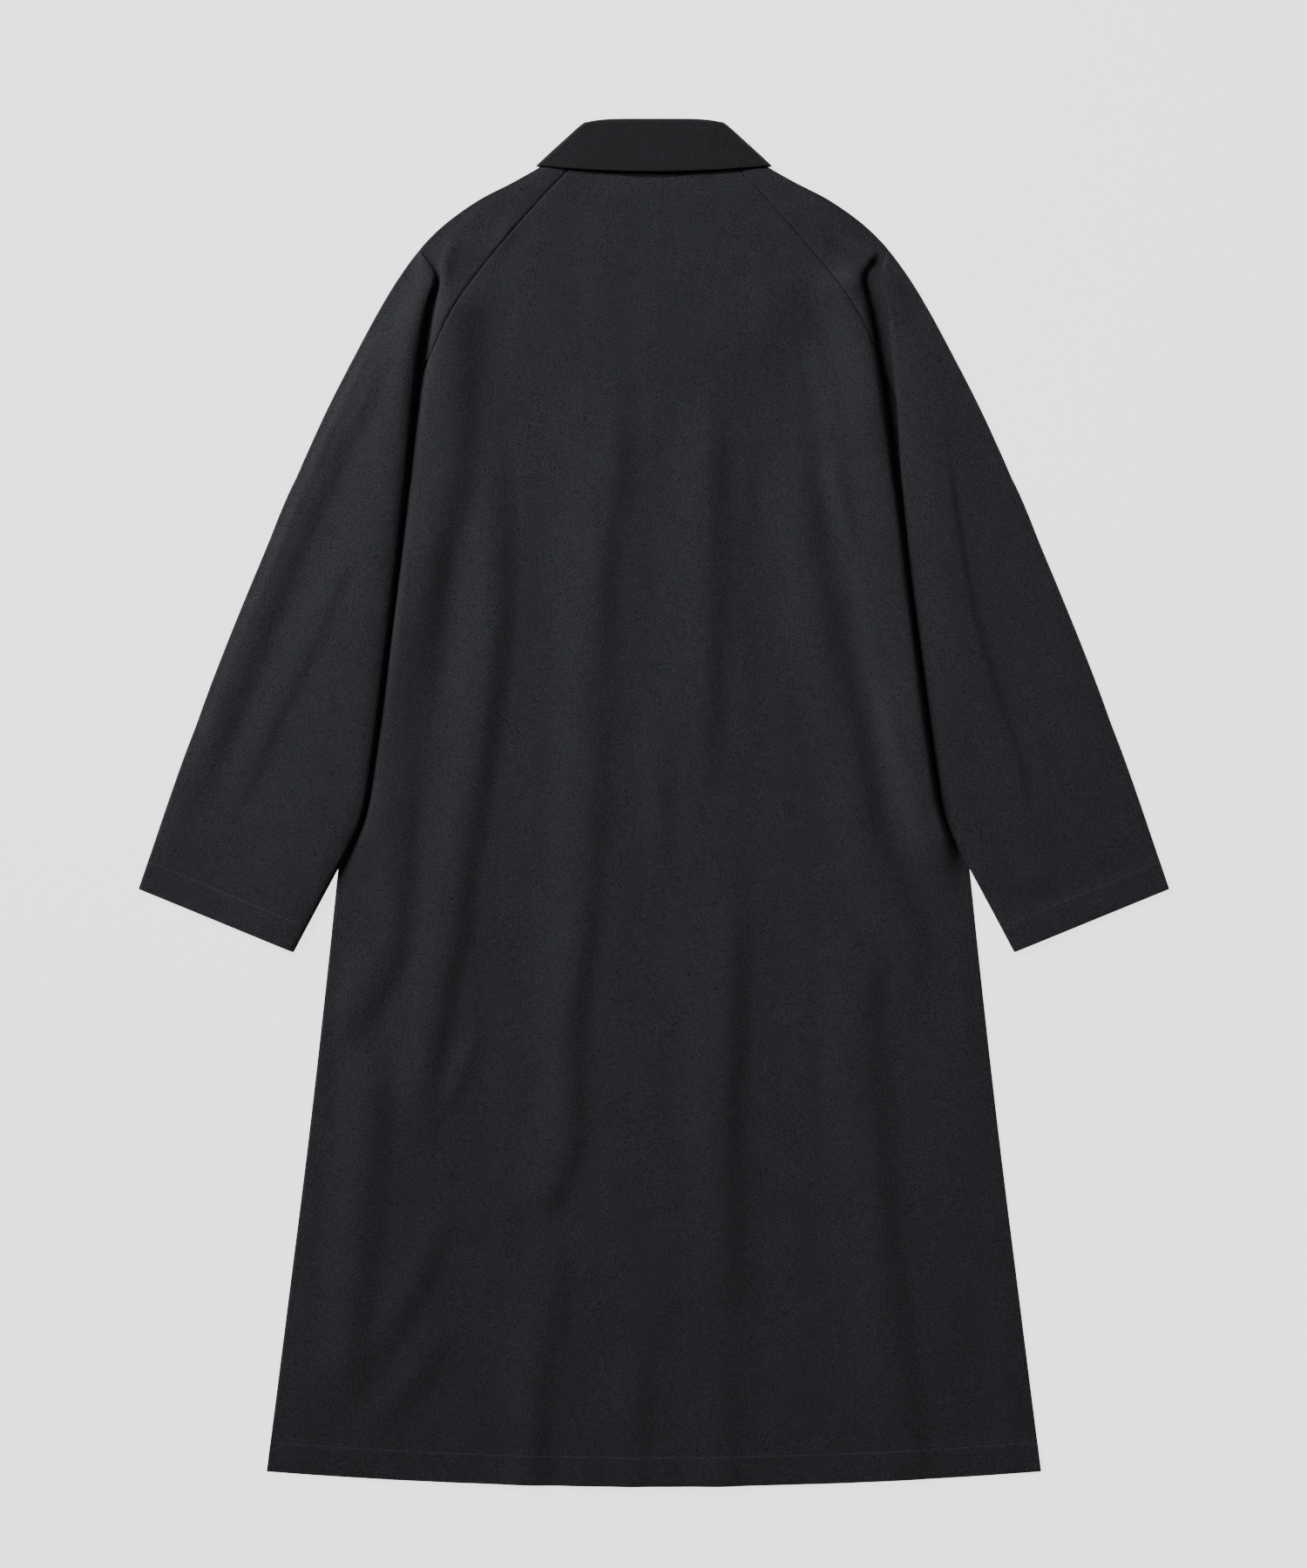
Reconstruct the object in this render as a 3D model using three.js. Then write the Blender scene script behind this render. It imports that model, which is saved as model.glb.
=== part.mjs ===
// A raglan-sleeved mackintosh coat, laid face down on a flat surface with its back up.
// Millimetres. X runs across the coat, Y from the hem to the collar, Z up from the surface.
// Each cut piece is a closed wall of cloth: the middle of the wall is worked out first,
// on a grid of rows and columns, and its two faces lie half a thickness to either side.

import * as THREE from "three";

// Cloth and layers
const CLOTH = 1.6;
const LAYER_GAP = 0.4;
const SEAM_GAP = 0.3;
const LAYER = CLOTH + LAYER_GAP;
const FIRST_LAYER = CLOTH / 2;
const SECOND_LAYER = FIRST_LAYER + LAYER;
const THIRD_LAYER = SECOND_LAYER + LAYER;
const BETWEEN_LAYERS = SECOND_LAYER + LAYER_GAP * 2;

// Body, measured up from the lowest point of the hem and out from the centre line
const HEM_CORNER_UP = 14;
const BACK_NECK_UP = 1202;
const NECK_SIDE_OUT = 88;
const NECK_SIDE_RISE = 19;
const FRONT_NECK_UP = 1165;
const COLLAR_END_OUT = 4;
const NECK_GAP = 0.5;
const FRONT_PAST_CENTRE = 36;
const FRONT_INSET = 1;
const FRONT_HEM_UP = 2;

const ARMPIT = { up: 917, out: 256 };

const SIDE_SEAM = [
  { up: HEM_CORNER_UP, out: 356 },
  { up: 165, out: 337 },
  { up: 325, out: 317 },
  { up: 485, out: 299 },
  { up: 557, out: 291.5 },
  { up: 700, out: 276 },
  { up: 805, out: 266 },
  ARMPIT,
];

// Front raglan seam, from the armpit to the neck
const FRONT_RAGLAN = [
  ARMPIT,
  { up: 965, out: 229 },
  { up: 1010, out: 203 },
  { up: 1050, out: 179 },
  { up: 1080, out: 160 },
  { up: 1105, out: 143 },
  { up: 1128, out: 127 },
  { up: 1150, out: 111 },
  { up: 1170, out: 96 },
  { up: 1186, out: 82 },
  { up: 1199.3, out: 70 },
];

// Back raglan sleeve, a row for each section from the neck to the cuff.
// outer: the over-arm seam. fold: the edge of the sleeve that lies over the body.
// seam: the raglan seam, which ends at the armpit. pleat: how far the cloth turns back
// under the fold. roll: how far the fold stands above the cloth turned back under it.
// underFold and underEnd, below the armpit: the level of the turned-back cloth at the
// fold, and at its far edge, which is the underarm seam.
const SLEEVE = [
  { outerOut: 87, outerUp: 1220.2, seamOut: 74, seamUp: 1214.9 },
  { outerOut: 101.5, outerUp: 1212.6, seamOut: 82, seamUp: 1205 },
  { outerOut: 112, outerUp: 1206.5, seamOut: 92, seamUp: 1195 },
  { outerOut: 130, outerUp: 1196.5, seamOut: 104, seamUp: 1182 },
  { outerOut: 160, outerUp: 1181, seamOut: 119, seamUp: 1165.5 },
  { outerOut: 194, outerUp: 1157, seamOut: 141, seamUp: 1140 },
  { outerOut: 214, outerUp: 1137, seamOut: 158, seamUp: 1119.5 },
  { outerOut: 234.8, outerUp: 1109, foldOut: 201, foldUp: 1109, pleat: 0, roll: 4,
    seamOut: 173, seamUp: 1099.5 },
  { outerOut: 249.5, outerUp: 1085, foldOut: 207.5, foldUp: 1085, pleat: 6, roll: 6,
    seamOut: 185, seamUp: 1081 },
  { outerOut: 275.5, outerUp: 1037, foldOut: 215.5, foldUp: 1037, pleat: 13, roll: 6,
    seamOut: 206, seamUp: 1037 },
  { outerOut: 300, outerUp: 989, foldOut: 221, foldUp: 989, pleat: 18, roll: 6,
    seamOut: 226, seamUp: 989 },
  { outerOut: 322, outerUp: 941, foldOut: 225.5, foldUp: 941, pleat: 24.5, roll: 6,
    seamOut: 245.5, seamUp: 941 },
  { outerOut: 329, outerUp: 925, foldOut: 227, foldUp: 925, pleat: 26.5, roll: 6,
    seamOut: 252.5, seamUp: 925 },
  { outerOut: 333, outerUp: 917, foldOut: 228, foldUp: 917, pleat: 28, roll: 6,
    underFold: THIRD_LAYER, underEnd: THIRD_LAYER },
  { outerOut: 343.5, outerUp: 893, foldOut: 230.5, foldUp: 893, pleat: 33, roll: 6,
    underFold: THIRD_LAYER, underEnd: BETWEEN_LAYERS },
  { outerOut: 353, outerUp: 869, foldOut: 233, foldUp: 869, pleat: 36, roll: 6,
    underFold: THIRD_LAYER, underEnd: SECOND_LAYER },
  { outerOut: 373, outerUp: 821, foldOut: 238.5, foldUp: 821, pleat: 36, roll: 6,
    underFold: THIRD_LAYER, underEnd: SECOND_LAYER },
  { outerOut: 392.5, outerUp: 773, foldOut: 244.5, foldUp: 773, pleat: 36, roll: 6,
    underFold: THIRD_LAYER, underEnd: SECOND_LAYER },
  { outerOut: 411, outerUp: 725, foldOut: 250.5, foldUp: 725, pleat: 36, roll: 6,
    underFold: THIRD_LAYER, underEnd: SECOND_LAYER },
  { outerOut: 428.5, outerUp: 677, foldOut: 257, foldUp: 677, pleat: 36, roll: 6,
    underFold: THIRD_LAYER, underEnd: SECOND_LAYER },
  { outerOut: 446, outerUp: 629, foldOut: 266, foldUp: 620, pleat: 36, roll: 6,
    underFold: THIRD_LAYER, underEnd: SECOND_LAYER },
  { outerOut: 454.5, outerUp: 604, foldOut: 277, foldUp: 592, pleat: 35, roll: 5,
    underFold: THIRD_LAYER, underEnd: SECOND_LAYER },
  { outerOut: 460.5, outerUp: 586, foldOut: 293, foldUp: 562, pleat: 35, roll: 4,
    underFold: THIRD_LAYER, underEnd: SECOND_LAYER },
  { outerOut: 467.5, outerUp: 566, foldOut: 313, foldUp: 525, pleat: 35, roll: 3.4,
    underFold: SECOND_LAYER, underEnd: SECOND_LAYER },
  { outerOut: 473, outerUp: 549, foldOut: 331, foldUp: 491, pleat: 35, roll: 3,
    underFold: SECOND_LAYER, underEnd: SECOND_LAYER },
];
const NOTCH_ROW = 6;
const SEAM_END_ROW = 12;
const ARMPIT_ROW = 13;
const BODY_EDGE_MARGIN = 1.5;
const TOP_BUNCHING = 0.8;
const TOP_FLAT_SHARE = 0.12;
const ROLL_SHARE = 0.6;
const TURN_SHARE = 0.3;
const DROP_RANGE = { from: 0.25, to: 0.95 };

// Columns of the sleeve's grid: the top of the sleeve, the roll of the fold,
// the cloth turned back, the inner turn of the pleat, and on to the raglan seam
const TOP_COLUMNS = 9;
const ROLL_COLUMNS = 4;
const RETURN_COLUMNS = 2;
const DROP_COLUMNS = 2;
const TURN_COLUMNS = 4;
const SEAM_COLUMNS = 4;

// Front of each sleeve: its inner edge below the armpit
const UNDERARM_FRONT = [
  { up: 893, out: 259.5 },
  { up: 869, out: 262.5 },
  { up: 773, out: 273.5 },
  { up: 677, out: 285.5 },
  { up: 626, out: 293.5 },
  { up: 575, out: 318 },
  { up: 501.5, out: 357 },
];

// Collar, seen from the back: the fall over the stand, both flattened into a loop.
// up and out are at the centre back, at the side of the loop, and at the front end.
const FALL_RADIUS = 2 * LAYER;
const ROLL_RADIUS = 1.5 * LAYER;
const STAND_RADIUS = LAYER;
const LOOP_MIDDLE = FIRST_LAYER + FALL_RADIUS;
const COLLAR = [
  { radius: FALL_RADIUS, backUp: 1207.2, sideOut: 107.5, sideUp: 1212.5,
    endOut: 66, endUp: 1122, bend: 2, frontBend: 1, proud: 2.4 },
  { radius: FALL_RADIUS, backUp: 1220, sideOut: 98, sideUp: 1221.5,
    endOut: 46, endUp: 1142, bend: 2, frontBend: 1.1, proud: 1.8 },
  { radius: FALL_RADIUS, backUp: 1238, sideOut: 81, sideUp: 1237,
    endOut: 24, endUp: 1166, bend: 3, frontBend: 1.2, proud: 1 },
  { radius: FALL_RADIUS, backUp: 1252, sideOut: 67, sideUp: 1249.5,
    endOut: 6, endUp: 1185, bend: 5, frontBend: 1.3, proud: 0.2 },
  { radius: ROLL_RADIUS, backUp: 1255, sideOut: 63.5, sideUp: 1252,
    endOut: COLLAR_END_OUT, endUp: 1187.5, bend: 5, frontBend: 1.3, proud: 0 },
  { radius: STAND_RADIUS, backUp: 1252.4, sideOut: 64, sideUp: 1249,
    endOut: COLLAR_END_OUT, endUp: 1185.5, bend: 5, frontBend: 1.3, proud: 0 },
  { radius: STAND_RADIUS, backUp: 1243, sideOut: 70, sideUp: 1241,
    endOut: COLLAR_END_OUT, endUp: 1181, bend: 4, frontBend: 1.5, proud: 0 },
  { radius: STAND_RADIUS, backUp: 1223, sideOut: 79, sideUp: 1231,
    endOut: COLLAR_END_OUT, endUp: 1173, bend: 2, frontBend: 1.8, proud: 0 },
  { radius: STAND_RADIUS, backUp: BACK_NECK_UP, sideOut: NECK_SIDE_OUT,
    sideUp: BACK_NECK_UP + NECK_SIDE_RISE, endOut: COLLAR_END_OUT, endUp: FRONT_NECK_UP, bend: 2,
    frontBend: 2, proud: 0 },
];
const STAND_SEAM_ROW = 6;
const COLLAR_BACK_COLUMNS = 8;
const COLLAR_SIDE_COLUMNS = 4;
const COLLAR_FRONT_COLUMNS = 6;

// Where the layers rise to make room for the collar under the fronts, and for the
// overlap of the two fronts under the back
const COLLAR_CENTRE_UP = 1190;
const LOWER_RISE = { flat: 130, end: 185 };
const UPPER_RISE = { flat: 145, end: 215 };
const FRONT_STEP = { flat: 37, end: 52 };
const BACK_STEP = { flat: 64, end: 100 };

// Soft ridges of the back, each a path from its top to its bottom end.
// x is across the coat and up is above the hem.
const RIDGES = [
  { name: "left long", rise: 9, spread: 21, path: [
    { up: 960, x: -140 }, { up: 821, x: -148 }, { up: 669, x: -164 },
    { up: 493, x: -194 }, { up: 325, x: -216 }, { up: 235, x: -232 }] },
  { name: "beside left sleeve", rise: 7, spread: 15, path: [
    { up: 1105, x: -180 }, { up: 1005, x: -182 }, { up: 917, x: -184 }, { up: 845, x: -203 },
    { up: 765, x: -217 }, { up: 685, x: -230 }, { up: 581, x: -241 }, { up: 501, x: -255 },
    { up: 430, x: -277 }] },
  { name: "left hem", rise: 7, spread: 18, path: [
    { up: 390, x: -272 }, { up: 285, x: -287 }, { up: 165, x: -296 }, { up: 40, x: -302 }] },
  { name: "left slant", rise: 4, spread: 14, path: [
    { up: 250, x: -200 }, { up: 160, x: -232 }, { up: 70, x: -262 }] },
  { name: "centre left", rise: 7, spread: 20, path: [
    { up: 1030, x: -36 }, { up: 853, x: -44 }, { up: 645, x: -56 }, { up: 517, x: -66 },
    { up: 389, x: -80 }, { up: 300, x: -85 }, { up: 181, x: -104 }, { up: -60, x: -122 }] },
  { name: "centre right", rise: 6, spread: 23, path: [
    { up: 1010, x: 49 }, { up: 853, x: 44 }, { up: 685, x: 52 }, { up: 525, x: 62 },
    { up: 365, x: 56 }, { up: 205, x: 57 }, { up: -60, x: 64 }] },
  { name: "right long", rise: 6, spread: 21, path: [
    { up: 960, x: 122 }, { up: 821, x: 140 }, { up: 725, x: 160 }, { up: 629, x: 188 },
    { up: 533, x: 224 }, { up: 465, x: 258 }] },
  { name: "beside right sleeve", rise: 6, spread: 14, path: [
    { up: 1040, x: 165 }, { up: 917, x: 188 }, { up: 805, x: 204 }, { up: 709, x: 222 },
    { up: 613, x: 244 }, { up: 550, x: 262 }] },
  { name: "right hem", rise: 7, spread: 19, path: [
    { up: 540, x: 196 }, { up: 405, x: 198 }, { up: 293, x: 206 }, { up: 181, x: 220 },
    { up: 40, x: 234 }] },
];
const RIDGE_END = 110;
const RIDGE_REACH = 1.7;
const EDGE_CLEAR = 3;
const EDGE_CALM = 26;

const BACK_COLUMNS = 42;
const BACK_SIDE_ROWS = 17;
const FRONT_COLUMNS = 9;
const FRONT_SIDE_ROWS = 8;
const FRONT_EDGE_COLUMNS = [FRONT_STEP.flat, 25, 13, COLLAR_END_OUT, -FRONT_PAST_CENTRE];
const SLEEVE_FRONT_COLUMNS = 5;

const CLOTH_COLOUR = 0x26272a;
const COLLAR_COLOUR = 0x242528;

function smoothStep(value) {
  const t = Math.min(1, Math.max(0, value));
  return t * t * (3 - 2 * t);
}

// 1 within the flat reach, falling softly to 0 at the end
function plateau(distance, reach) {
  return 1 - smoothStep((distance - reach.flat) / (reach.end - reach.flat));
}

// Value of one column of a table at a given height, straight between its rows
function readAt(rows, up, column) {
  const climbing = rows[0].up < rows[rows.length - 1].up;
  const ordered = climbing ? rows : [...rows].reverse();
  let low = 0;
  while (low < ordered.length - 2 && up > ordered[low + 1].up) {
    low += 1;
  }
  const share = (up - ordered[low].up) / (ordered[low + 1].up - ordered[low].up);
  const held = Math.min(1, Math.max(0, share));
  return ordered[low][column] + (ordered[low + 1][column] - ordered[low][column]) * held;
}

// Where the pieces end under the stand of the collar
function backNeck(x) {
  return BACK_NECK_UP + NECK_SIDE_RISE * (x / NECK_SIDE_OUT) ** 2;
}

function frontNeck(x) {
  const outward = Math.max(0, x - COLLAR_END_OUT) / (NECK_SIDE_OUT - COLLAR_END_OUT);
  return FRONT_NECK_UP + (BACK_NECK_UP + NECK_SIDE_RISE - FRONT_NECK_UP) * outward ** 2;
}

function collarDistance(x, up) {
  return Math.hypot(x, up - COLLAR_CENTRE_UP);
}

// Height of the middle of each layer
function lowerLevel(x, up) {
  return FIRST_LAYER + LAYER * plateau(collarDistance(x, up), LOWER_RISE);
}

function upperLevel(x, up) {
  const nearCollar = plateau(collarDistance(x, up), UPPER_RISE);
  const overlap = plateau(Math.abs(x), BACK_STEP);
  return SECOND_LAYER + 2 * LAYER * nearCollar + LAYER * overlap * (1 - nearCollar);
}

// Furthest out that the back is free of the sleeve which lies over it
function freeReach(up) {
  const side = readAt(SIDE_SEAM, up, "out");
  const foldRows = SLEEVE.slice(NOTCH_ROW + 1).map((row) => ({ up: row.foldUp, out: row.foldOut }));
  const firstFold = foldRows[0];
  const lastFold = foldRows[foldRows.length - 1];
  if (up < lastFold.up || up > firstFold.up) {
    return side;
  }
  return Math.min(side, readAt(foldRows, up, "out"));
}

function ridgeHeight(x, up) {
  let height = 0;
  for (const ridge of RIDGES) {
    const top = ridge.path[0].up;
    const bottom = ridge.path[ridge.path.length - 1].up;
    if (up > bottom && up < top) {
      const away = Math.abs(x - readAt(ridge.path, up, "x")) / (RIDGE_REACH * ridge.spread);
      const ends = smoothStep((top - up) / RIDGE_END) * smoothStep((up - bottom) / RIDGE_END);
      const across = away < 1 ? Math.cos((away * Math.PI) / 2) ** 2 : 0;
      height += ridge.rise * across * ends;
    }
  }
  return height * smoothStep((freeReach(up) - EDGE_CLEAR - Math.abs(x)) / EDGE_CALM);
}

// Closed wall of cloth on a grid of { point, normal }, rows by columns.
// Rows that shrink to a point or columns that meet share their corners there.
function clothMesh(name, colour, grid) {
  const positions = [];
  const known = new Map();
  const faces = [];

  function corner(cell, side) {
    const spot = cell.point.clone().addScaledVector(cell.normal, (side * CLOTH) / 2);
    const key = spot.toArray().map((value) => value.toFixed(3)).join(" ");
    if (!known.has(key)) {
      known.set(key, positions.length / 3);
      positions.push(...spot.toArray());
    }
    return known.get(key);
  }

  function face(a, b, c) {
    if (a !== b && b !== c && c !== a) {
      faces.push(a, b, c);
    }
  }

  function quad(a, b, c, d) {
    face(a, b, c);
    face(a, c, d);
  }

  const top = grid.map((row) => row.map((cell) => corner(cell, 1)));
  const bottom = grid.map((row) => row.map((cell) => corner(cell, -1)));
  const lastRow = grid.length - 1;
  const lastColumn = grid[0].length - 1;
  for (let r = 0; r < lastRow; r += 1) {
    for (let c = 0; c < lastColumn; c += 1) {
      quad(top[r][c], top[r][c + 1], top[r + 1][c + 1], top[r + 1][c]);
      quad(bottom[r][c], bottom[r + 1][c], bottom[r + 1][c + 1], bottom[r][c + 1]);
    }
    quad(top[r][0], top[r + 1][0], bottom[r + 1][0], bottom[r][0]);
    quad(top[r][lastColumn], bottom[r][lastColumn], bottom[r + 1][lastColumn], top[r + 1][lastColumn]);
  }
  for (let c = 0; c < lastColumn; c += 1) {
    quad(top[0][c], bottom[0][c], bottom[0][c + 1], top[0][c + 1]);
    quad(top[lastRow][c], top[lastRow][c + 1], bottom[lastRow][c + 1], bottom[lastRow][c]);
  }

  const geometry = new THREE.BufferGeometry();
  geometry.setAttribute("position", new THREE.Float32BufferAttribute(positions, 3));
  geometry.setIndex(facingOut(positions, faces));
  geometry.computeVertexNormals();
  const finish = new THREE.MeshStandardMaterial({ color: colour, roughness: 0.9, metalness: 0 });
  const mesh = new THREE.Mesh(geometry, finish);
  mesh.name = name;
  return mesh;
}

// The same faces, turned over if they enclose a negative volume
function facingOut(positions, faces) {
  let volume = 0;
  for (let i = 0; i < faces.length; i += 3) {
    const [a, b, c] = [0, 1, 2].map((k) => new THREE.Vector3().fromArray(positions, 3 * faces[i + k]));
    volume += a.dot(b.cross(c));
  }
  return volume > 0 ? faces : [...faces].reverse();
}

const UP = new THREE.Vector3(0, 0, 1);

function flatCell(x, up, level) {
  return { point: new THREE.Vector3(x, up, level), normal: UP };
}

// The back: one piece from side seam to side seam, with its soft ridges
function backPiece() {
  const edges = [];
  for (let i = 0; i < BACK_SIDE_ROWS; i += 1) {
    const up = HEM_CORNER_UP + ((ARMPIT.up - HEM_CORNER_UP) * i) / BACK_SIDE_ROWS;
    edges.push({ up, out: readAt(SIDE_SEAM, up, "out") });
  }
  edges.push(ARMPIT);
  for (let i = SEAM_END_ROW; i >= 0; i -= 1) {
    edges.push({ up: SLEEVE[i].seamUp, out: SLEEVE[i].seamOut - SEAM_GAP });
  }
  const topUp = edges[edges.length - 1].up;
  const grid = edges.map((edge) => {
    const middleUp = ((edge.up - HEM_CORNER_UP) / (topUp - HEM_CORNER_UP)) * BACK_NECK_UP;
    const row = [];
    for (let c = 0; c <= BACK_COLUMNS; c += 1) {
      const across = (2 * c) / BACK_COLUMNS - 1;
      const x = across * edge.out;
      const wanted = middleUp + (edge.up - middleUp) * across * across;
      const up = Math.min(wanted, backNeck(x) - NECK_GAP);
      row.push(flatCell(x, up, upperLevel(x, up) + ridgeHeight(x, up)));
    }
    return row;
  });
  return clothMesh("back", CLOTH_COLOUR, grid);
}

// A front: from its side and raglan seams to just past the centre line.
// side is 1 on the right and -1 on the left. The covered one steps over the other.
function frontPiece(name, side, steps) {
  const edges = [];
  for (let i = 0; i < FRONT_SIDE_ROWS; i += 1) {
    const up = HEM_CORNER_UP + ((ARMPIT.up - HEM_CORNER_UP) * i) / FRONT_SIDE_ROWS;
    edges.push({ up: up + FRONT_HEM_UP, out: readAt(SIDE_SEAM, up, "out") - FRONT_INSET });
  }
  for (const seam of FRONT_RAGLAN) {
    edges.push({ up: seam.up, out: seam.out - SEAM_GAP - FRONT_INSET });
  }
  const topUp = FRONT_RAGLAN[FRONT_RAGLAN.length - 1].up;
  const bottomUp = HEM_CORNER_UP + FRONT_HEM_UP;
  const grid = edges.map((edge) => {
    const share = (edge.up - bottomUp) / (topUp - bottomUp);
    const centreUp = FRONT_HEM_UP + share * (FRONT_NECK_UP - FRONT_HEM_UP);
    const places = [];
    for (let c = 0; c < FRONT_COLUMNS; c += 1) {
      places.push(edge.out + ((FRONT_STEP.end - edge.out) * c) / FRONT_COLUMNS);
    }
    places.push(FRONT_STEP.end, ...FRONT_EDGE_COLUMNS);
    return places.map((x) => {
      const outward = Math.max(0, x / edge.out) ** 2;
      const wanted = centreUp + (edge.up - centreUp) * outward;
      const up = Math.min(wanted, frontNeck(x) - NECK_GAP);
      const step = steps ? LAYER * plateau(x, FRONT_STEP) : 0;
      return flatCell(side * x, up, lowerLevel(x, up) + step);
    });
  });
  return clothMesh(name, CLOTH_COLOUR, grid);
}

// The front half of a sleeve, flat on the surface under its back half
function sleeveFrontPiece(name, side) {
  const rows = [];
  const neckEnd = FRONT_RAGLAN[FRONT_RAGLAN.length - 1];
  const inner = [...FRONT_RAGLAN].reverse().map((seam) => ({ up: seam.up, out: seam.out + SEAM_GAP }));
  inner.push(...UNDERARM_FRONT);
  const outer = SLEEVE.map((row) => ({ up: row.outerUp, out: row.outerOut }));
  const armpit = FRONT_RAGLAN.length - 1;
  inner.forEach((end, i) => {
    const nearNeck = i <= armpit;
    const from = nearNeck ? outer[0].up : outer[ARMPIT_ROW].up;
    const to = nearNeck ? outer[ARMPIT_ROW].up : outer[outer.length - 1].up;
    const innerFrom = nearNeck ? neckEnd.up : inner[armpit].up;
    const innerTo = nearNeck ? inner[armpit].up : inner[inner.length - 1].up;
    const share = (innerFrom - end.up) / (innerFrom - innerTo);
    const outerUp = from + (to - from) * share;
    const outerOut = readAt(outer, outerUp, "out") - FRONT_INSET;
    const row = [];
    for (let c = 0; c <= SLEEVE_FRONT_COLUMNS; c += 1) {
      const across = c / SLEEVE_FRONT_COLUMNS;
      const out = outerOut + (end.out - outerOut) * across;
      const wanted = outerUp - SEAM_GAP + (end.up - outerUp) * across;
      const up = Math.min(wanted, frontNeck(out) - NECK_GAP);
      row.push(flatCell(side * out, up, lowerLevel(out, up)));
    }
    rows.push(row);
  });
  return clothMesh(name, CLOTH_COLOUR, rows);
}

// One row of the sleeve's back half, as points { out, up, level }
function sleeveSection(row, index) {
  const points = [];
  const outer = { out: row.outerOut, up: row.outerUp };
  outer.level = upperLevel(outer.out, outer.up);
  const folded = index > NOTCH_ROW;
  const overBody = index <= SEAM_END_ROW;
  const fold = folded ? { out: row.foldOut, up: row.foldUp } : outer;
  const low = upperLevel(fold.out, fold.up);
  const returnLevel = folded ? (overBody ? low + LAYER : row.underFold) : low;
  const topLevel = folded ? returnLevel + row.roll : low;
  const span = Math.hypot(fold.out - outer.out, fold.up - outer.up) || 1;
  const inward = { out: (fold.out - outer.out) / span, up: (fold.up - outer.up) / span };
  const pleat = folded ? row.pleat : 0;
  const rollDeep = (topLevel - returnLevel) / 2;
  const rollWide = Math.min(rollDeep, ROLL_SHARE * pleat);
  const turnDeep = overBody ? (returnLevel - low) / 2 : 0;
  const turnWide = Math.min(turnDeep, TURN_SHARE * pleat);

  function place(behindFold, level) {
    const out = fold.out - inward.out * behindFold;
    const up = fold.up - inward.up * behindFold;
    points.push({ out, up, level });
  }

  for (let c = 0; c <= TOP_COLUMNS; c += 1) {
    const t = (c / TOP_COLUMNS) ** TOP_BUNCHING;
    const rise = smoothStep((t - TOP_FLAT_SHARE) / (1 - TOP_FLAT_SHARE));
    const level = outer.level + (topLevel - outer.level) * rise;
    place(folded ? (span - rollWide) * (1 - t) + rollWide : 0, level);
  }
  for (let c = 1; c <= ROLL_COLUMNS; c += 1) {
    const angle = (Math.PI * c) / ROLL_COLUMNS;
    const level = returnLevel + rollDeep * (1 + Math.cos(angle));
    place(rollWide * (1 - Math.sin(angle)), level);
  }
  const returnEnd = pleat - turnWide;
  const returnEndLevel = overBody ? returnLevel : row.underEnd;
  const bodyEdge = readAt(SIDE_SEAM, fold.up, "out") + BODY_EDGE_MARGIN - fold.out;
  const nearest = rollWide + DROP_RANGE.from * (returnEnd - rollWide);
  const furthest = rollWide + DROP_RANGE.to * (returnEnd - rollWide);
  const drop = Math.max(nearest, Math.min(furthest, bodyEdge));
  for (let c = 1; c <= RETURN_COLUMNS; c += 1) {
    place(rollWide + ((drop - rollWide) * c) / RETURN_COLUMNS, returnLevel);
  }
  for (let c = 1; c <= DROP_COLUMNS; c += 1) {
    const t = c / DROP_COLUMNS;
    const level = returnLevel + (returnEndLevel - returnLevel) * smoothStep(t);
    place(drop + (returnEnd - drop) * t, level);
  }
  for (let c = 1; c <= TURN_COLUMNS; c += 1) {
    const angle = (Math.PI * c) / TURN_COLUMNS;
    const level = overBody ? low + turnDeep * (1 + Math.cos(angle)) : points[points.length - 1].level;
    place(returnEnd + turnWide * Math.sin(angle), level);
  }
  const turned = points[points.length - 1];
  for (let c = 1; c <= SEAM_COLUMNS; c += 1) {
    if (overBody) {
      const t = c / SEAM_COLUMNS;
      const out = turned.out + (row.seamOut - turned.out) * t;
      const up = turned.up + (row.seamUp - turned.up) * t;
      points.push({ out, up, level: upperLevel(out, up) });
    } else {
      points.push({ ...turned });
    }
  }
  return { points, inward };
}

// The back half of a sleeve, folded over the side of the body
function sleeveBackPiece(name, side) {
  const grid = SLEEVE.map((row, index) => {
    const { points, inward } = sleeveSection(row, index);
    const spots = points.map((point) => new THREE.Vector3(point.out, point.up, point.level));
    const along = folding(inward, spots);
    return spots.map((spot, c) => {
      const before = nearestOther(spots, c, -1);
      const after = nearestOther(spots, c, 1);
      const normal = after.clone().sub(before).cross(along).normalize();
      normal.x *= side;
      return { point: new THREE.Vector3(side * spot.x, spot.y, spot.z), normal };
    });
  });
  return clothMesh(name, CLOTH_COLOUR, grid);
}

// Level direction along a fold, at right angles to its row
function folding(inward, spots) {
  const across = new THREE.Vector3(inward.out, inward.up, 0);
  if (across.length() < 0.5) {
    across.copy(spots[spots.length - 1]).sub(spots[0]).setZ(0).normalize();
  }
  return new THREE.Vector3(0, 0, 1).cross(across).normalize();
}

// The next point to one side that isn't the same point, or the point itself at an end
function nearestOther(spots, index, step) {
  let i = index + step;
  while (i >= 0 && i < spots.length) {
    if (spots[i].distanceTo(spots[index]) > 0.001) {
      return spots[i];
    }
    i += step;
  }
  return spots[index];
}

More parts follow.
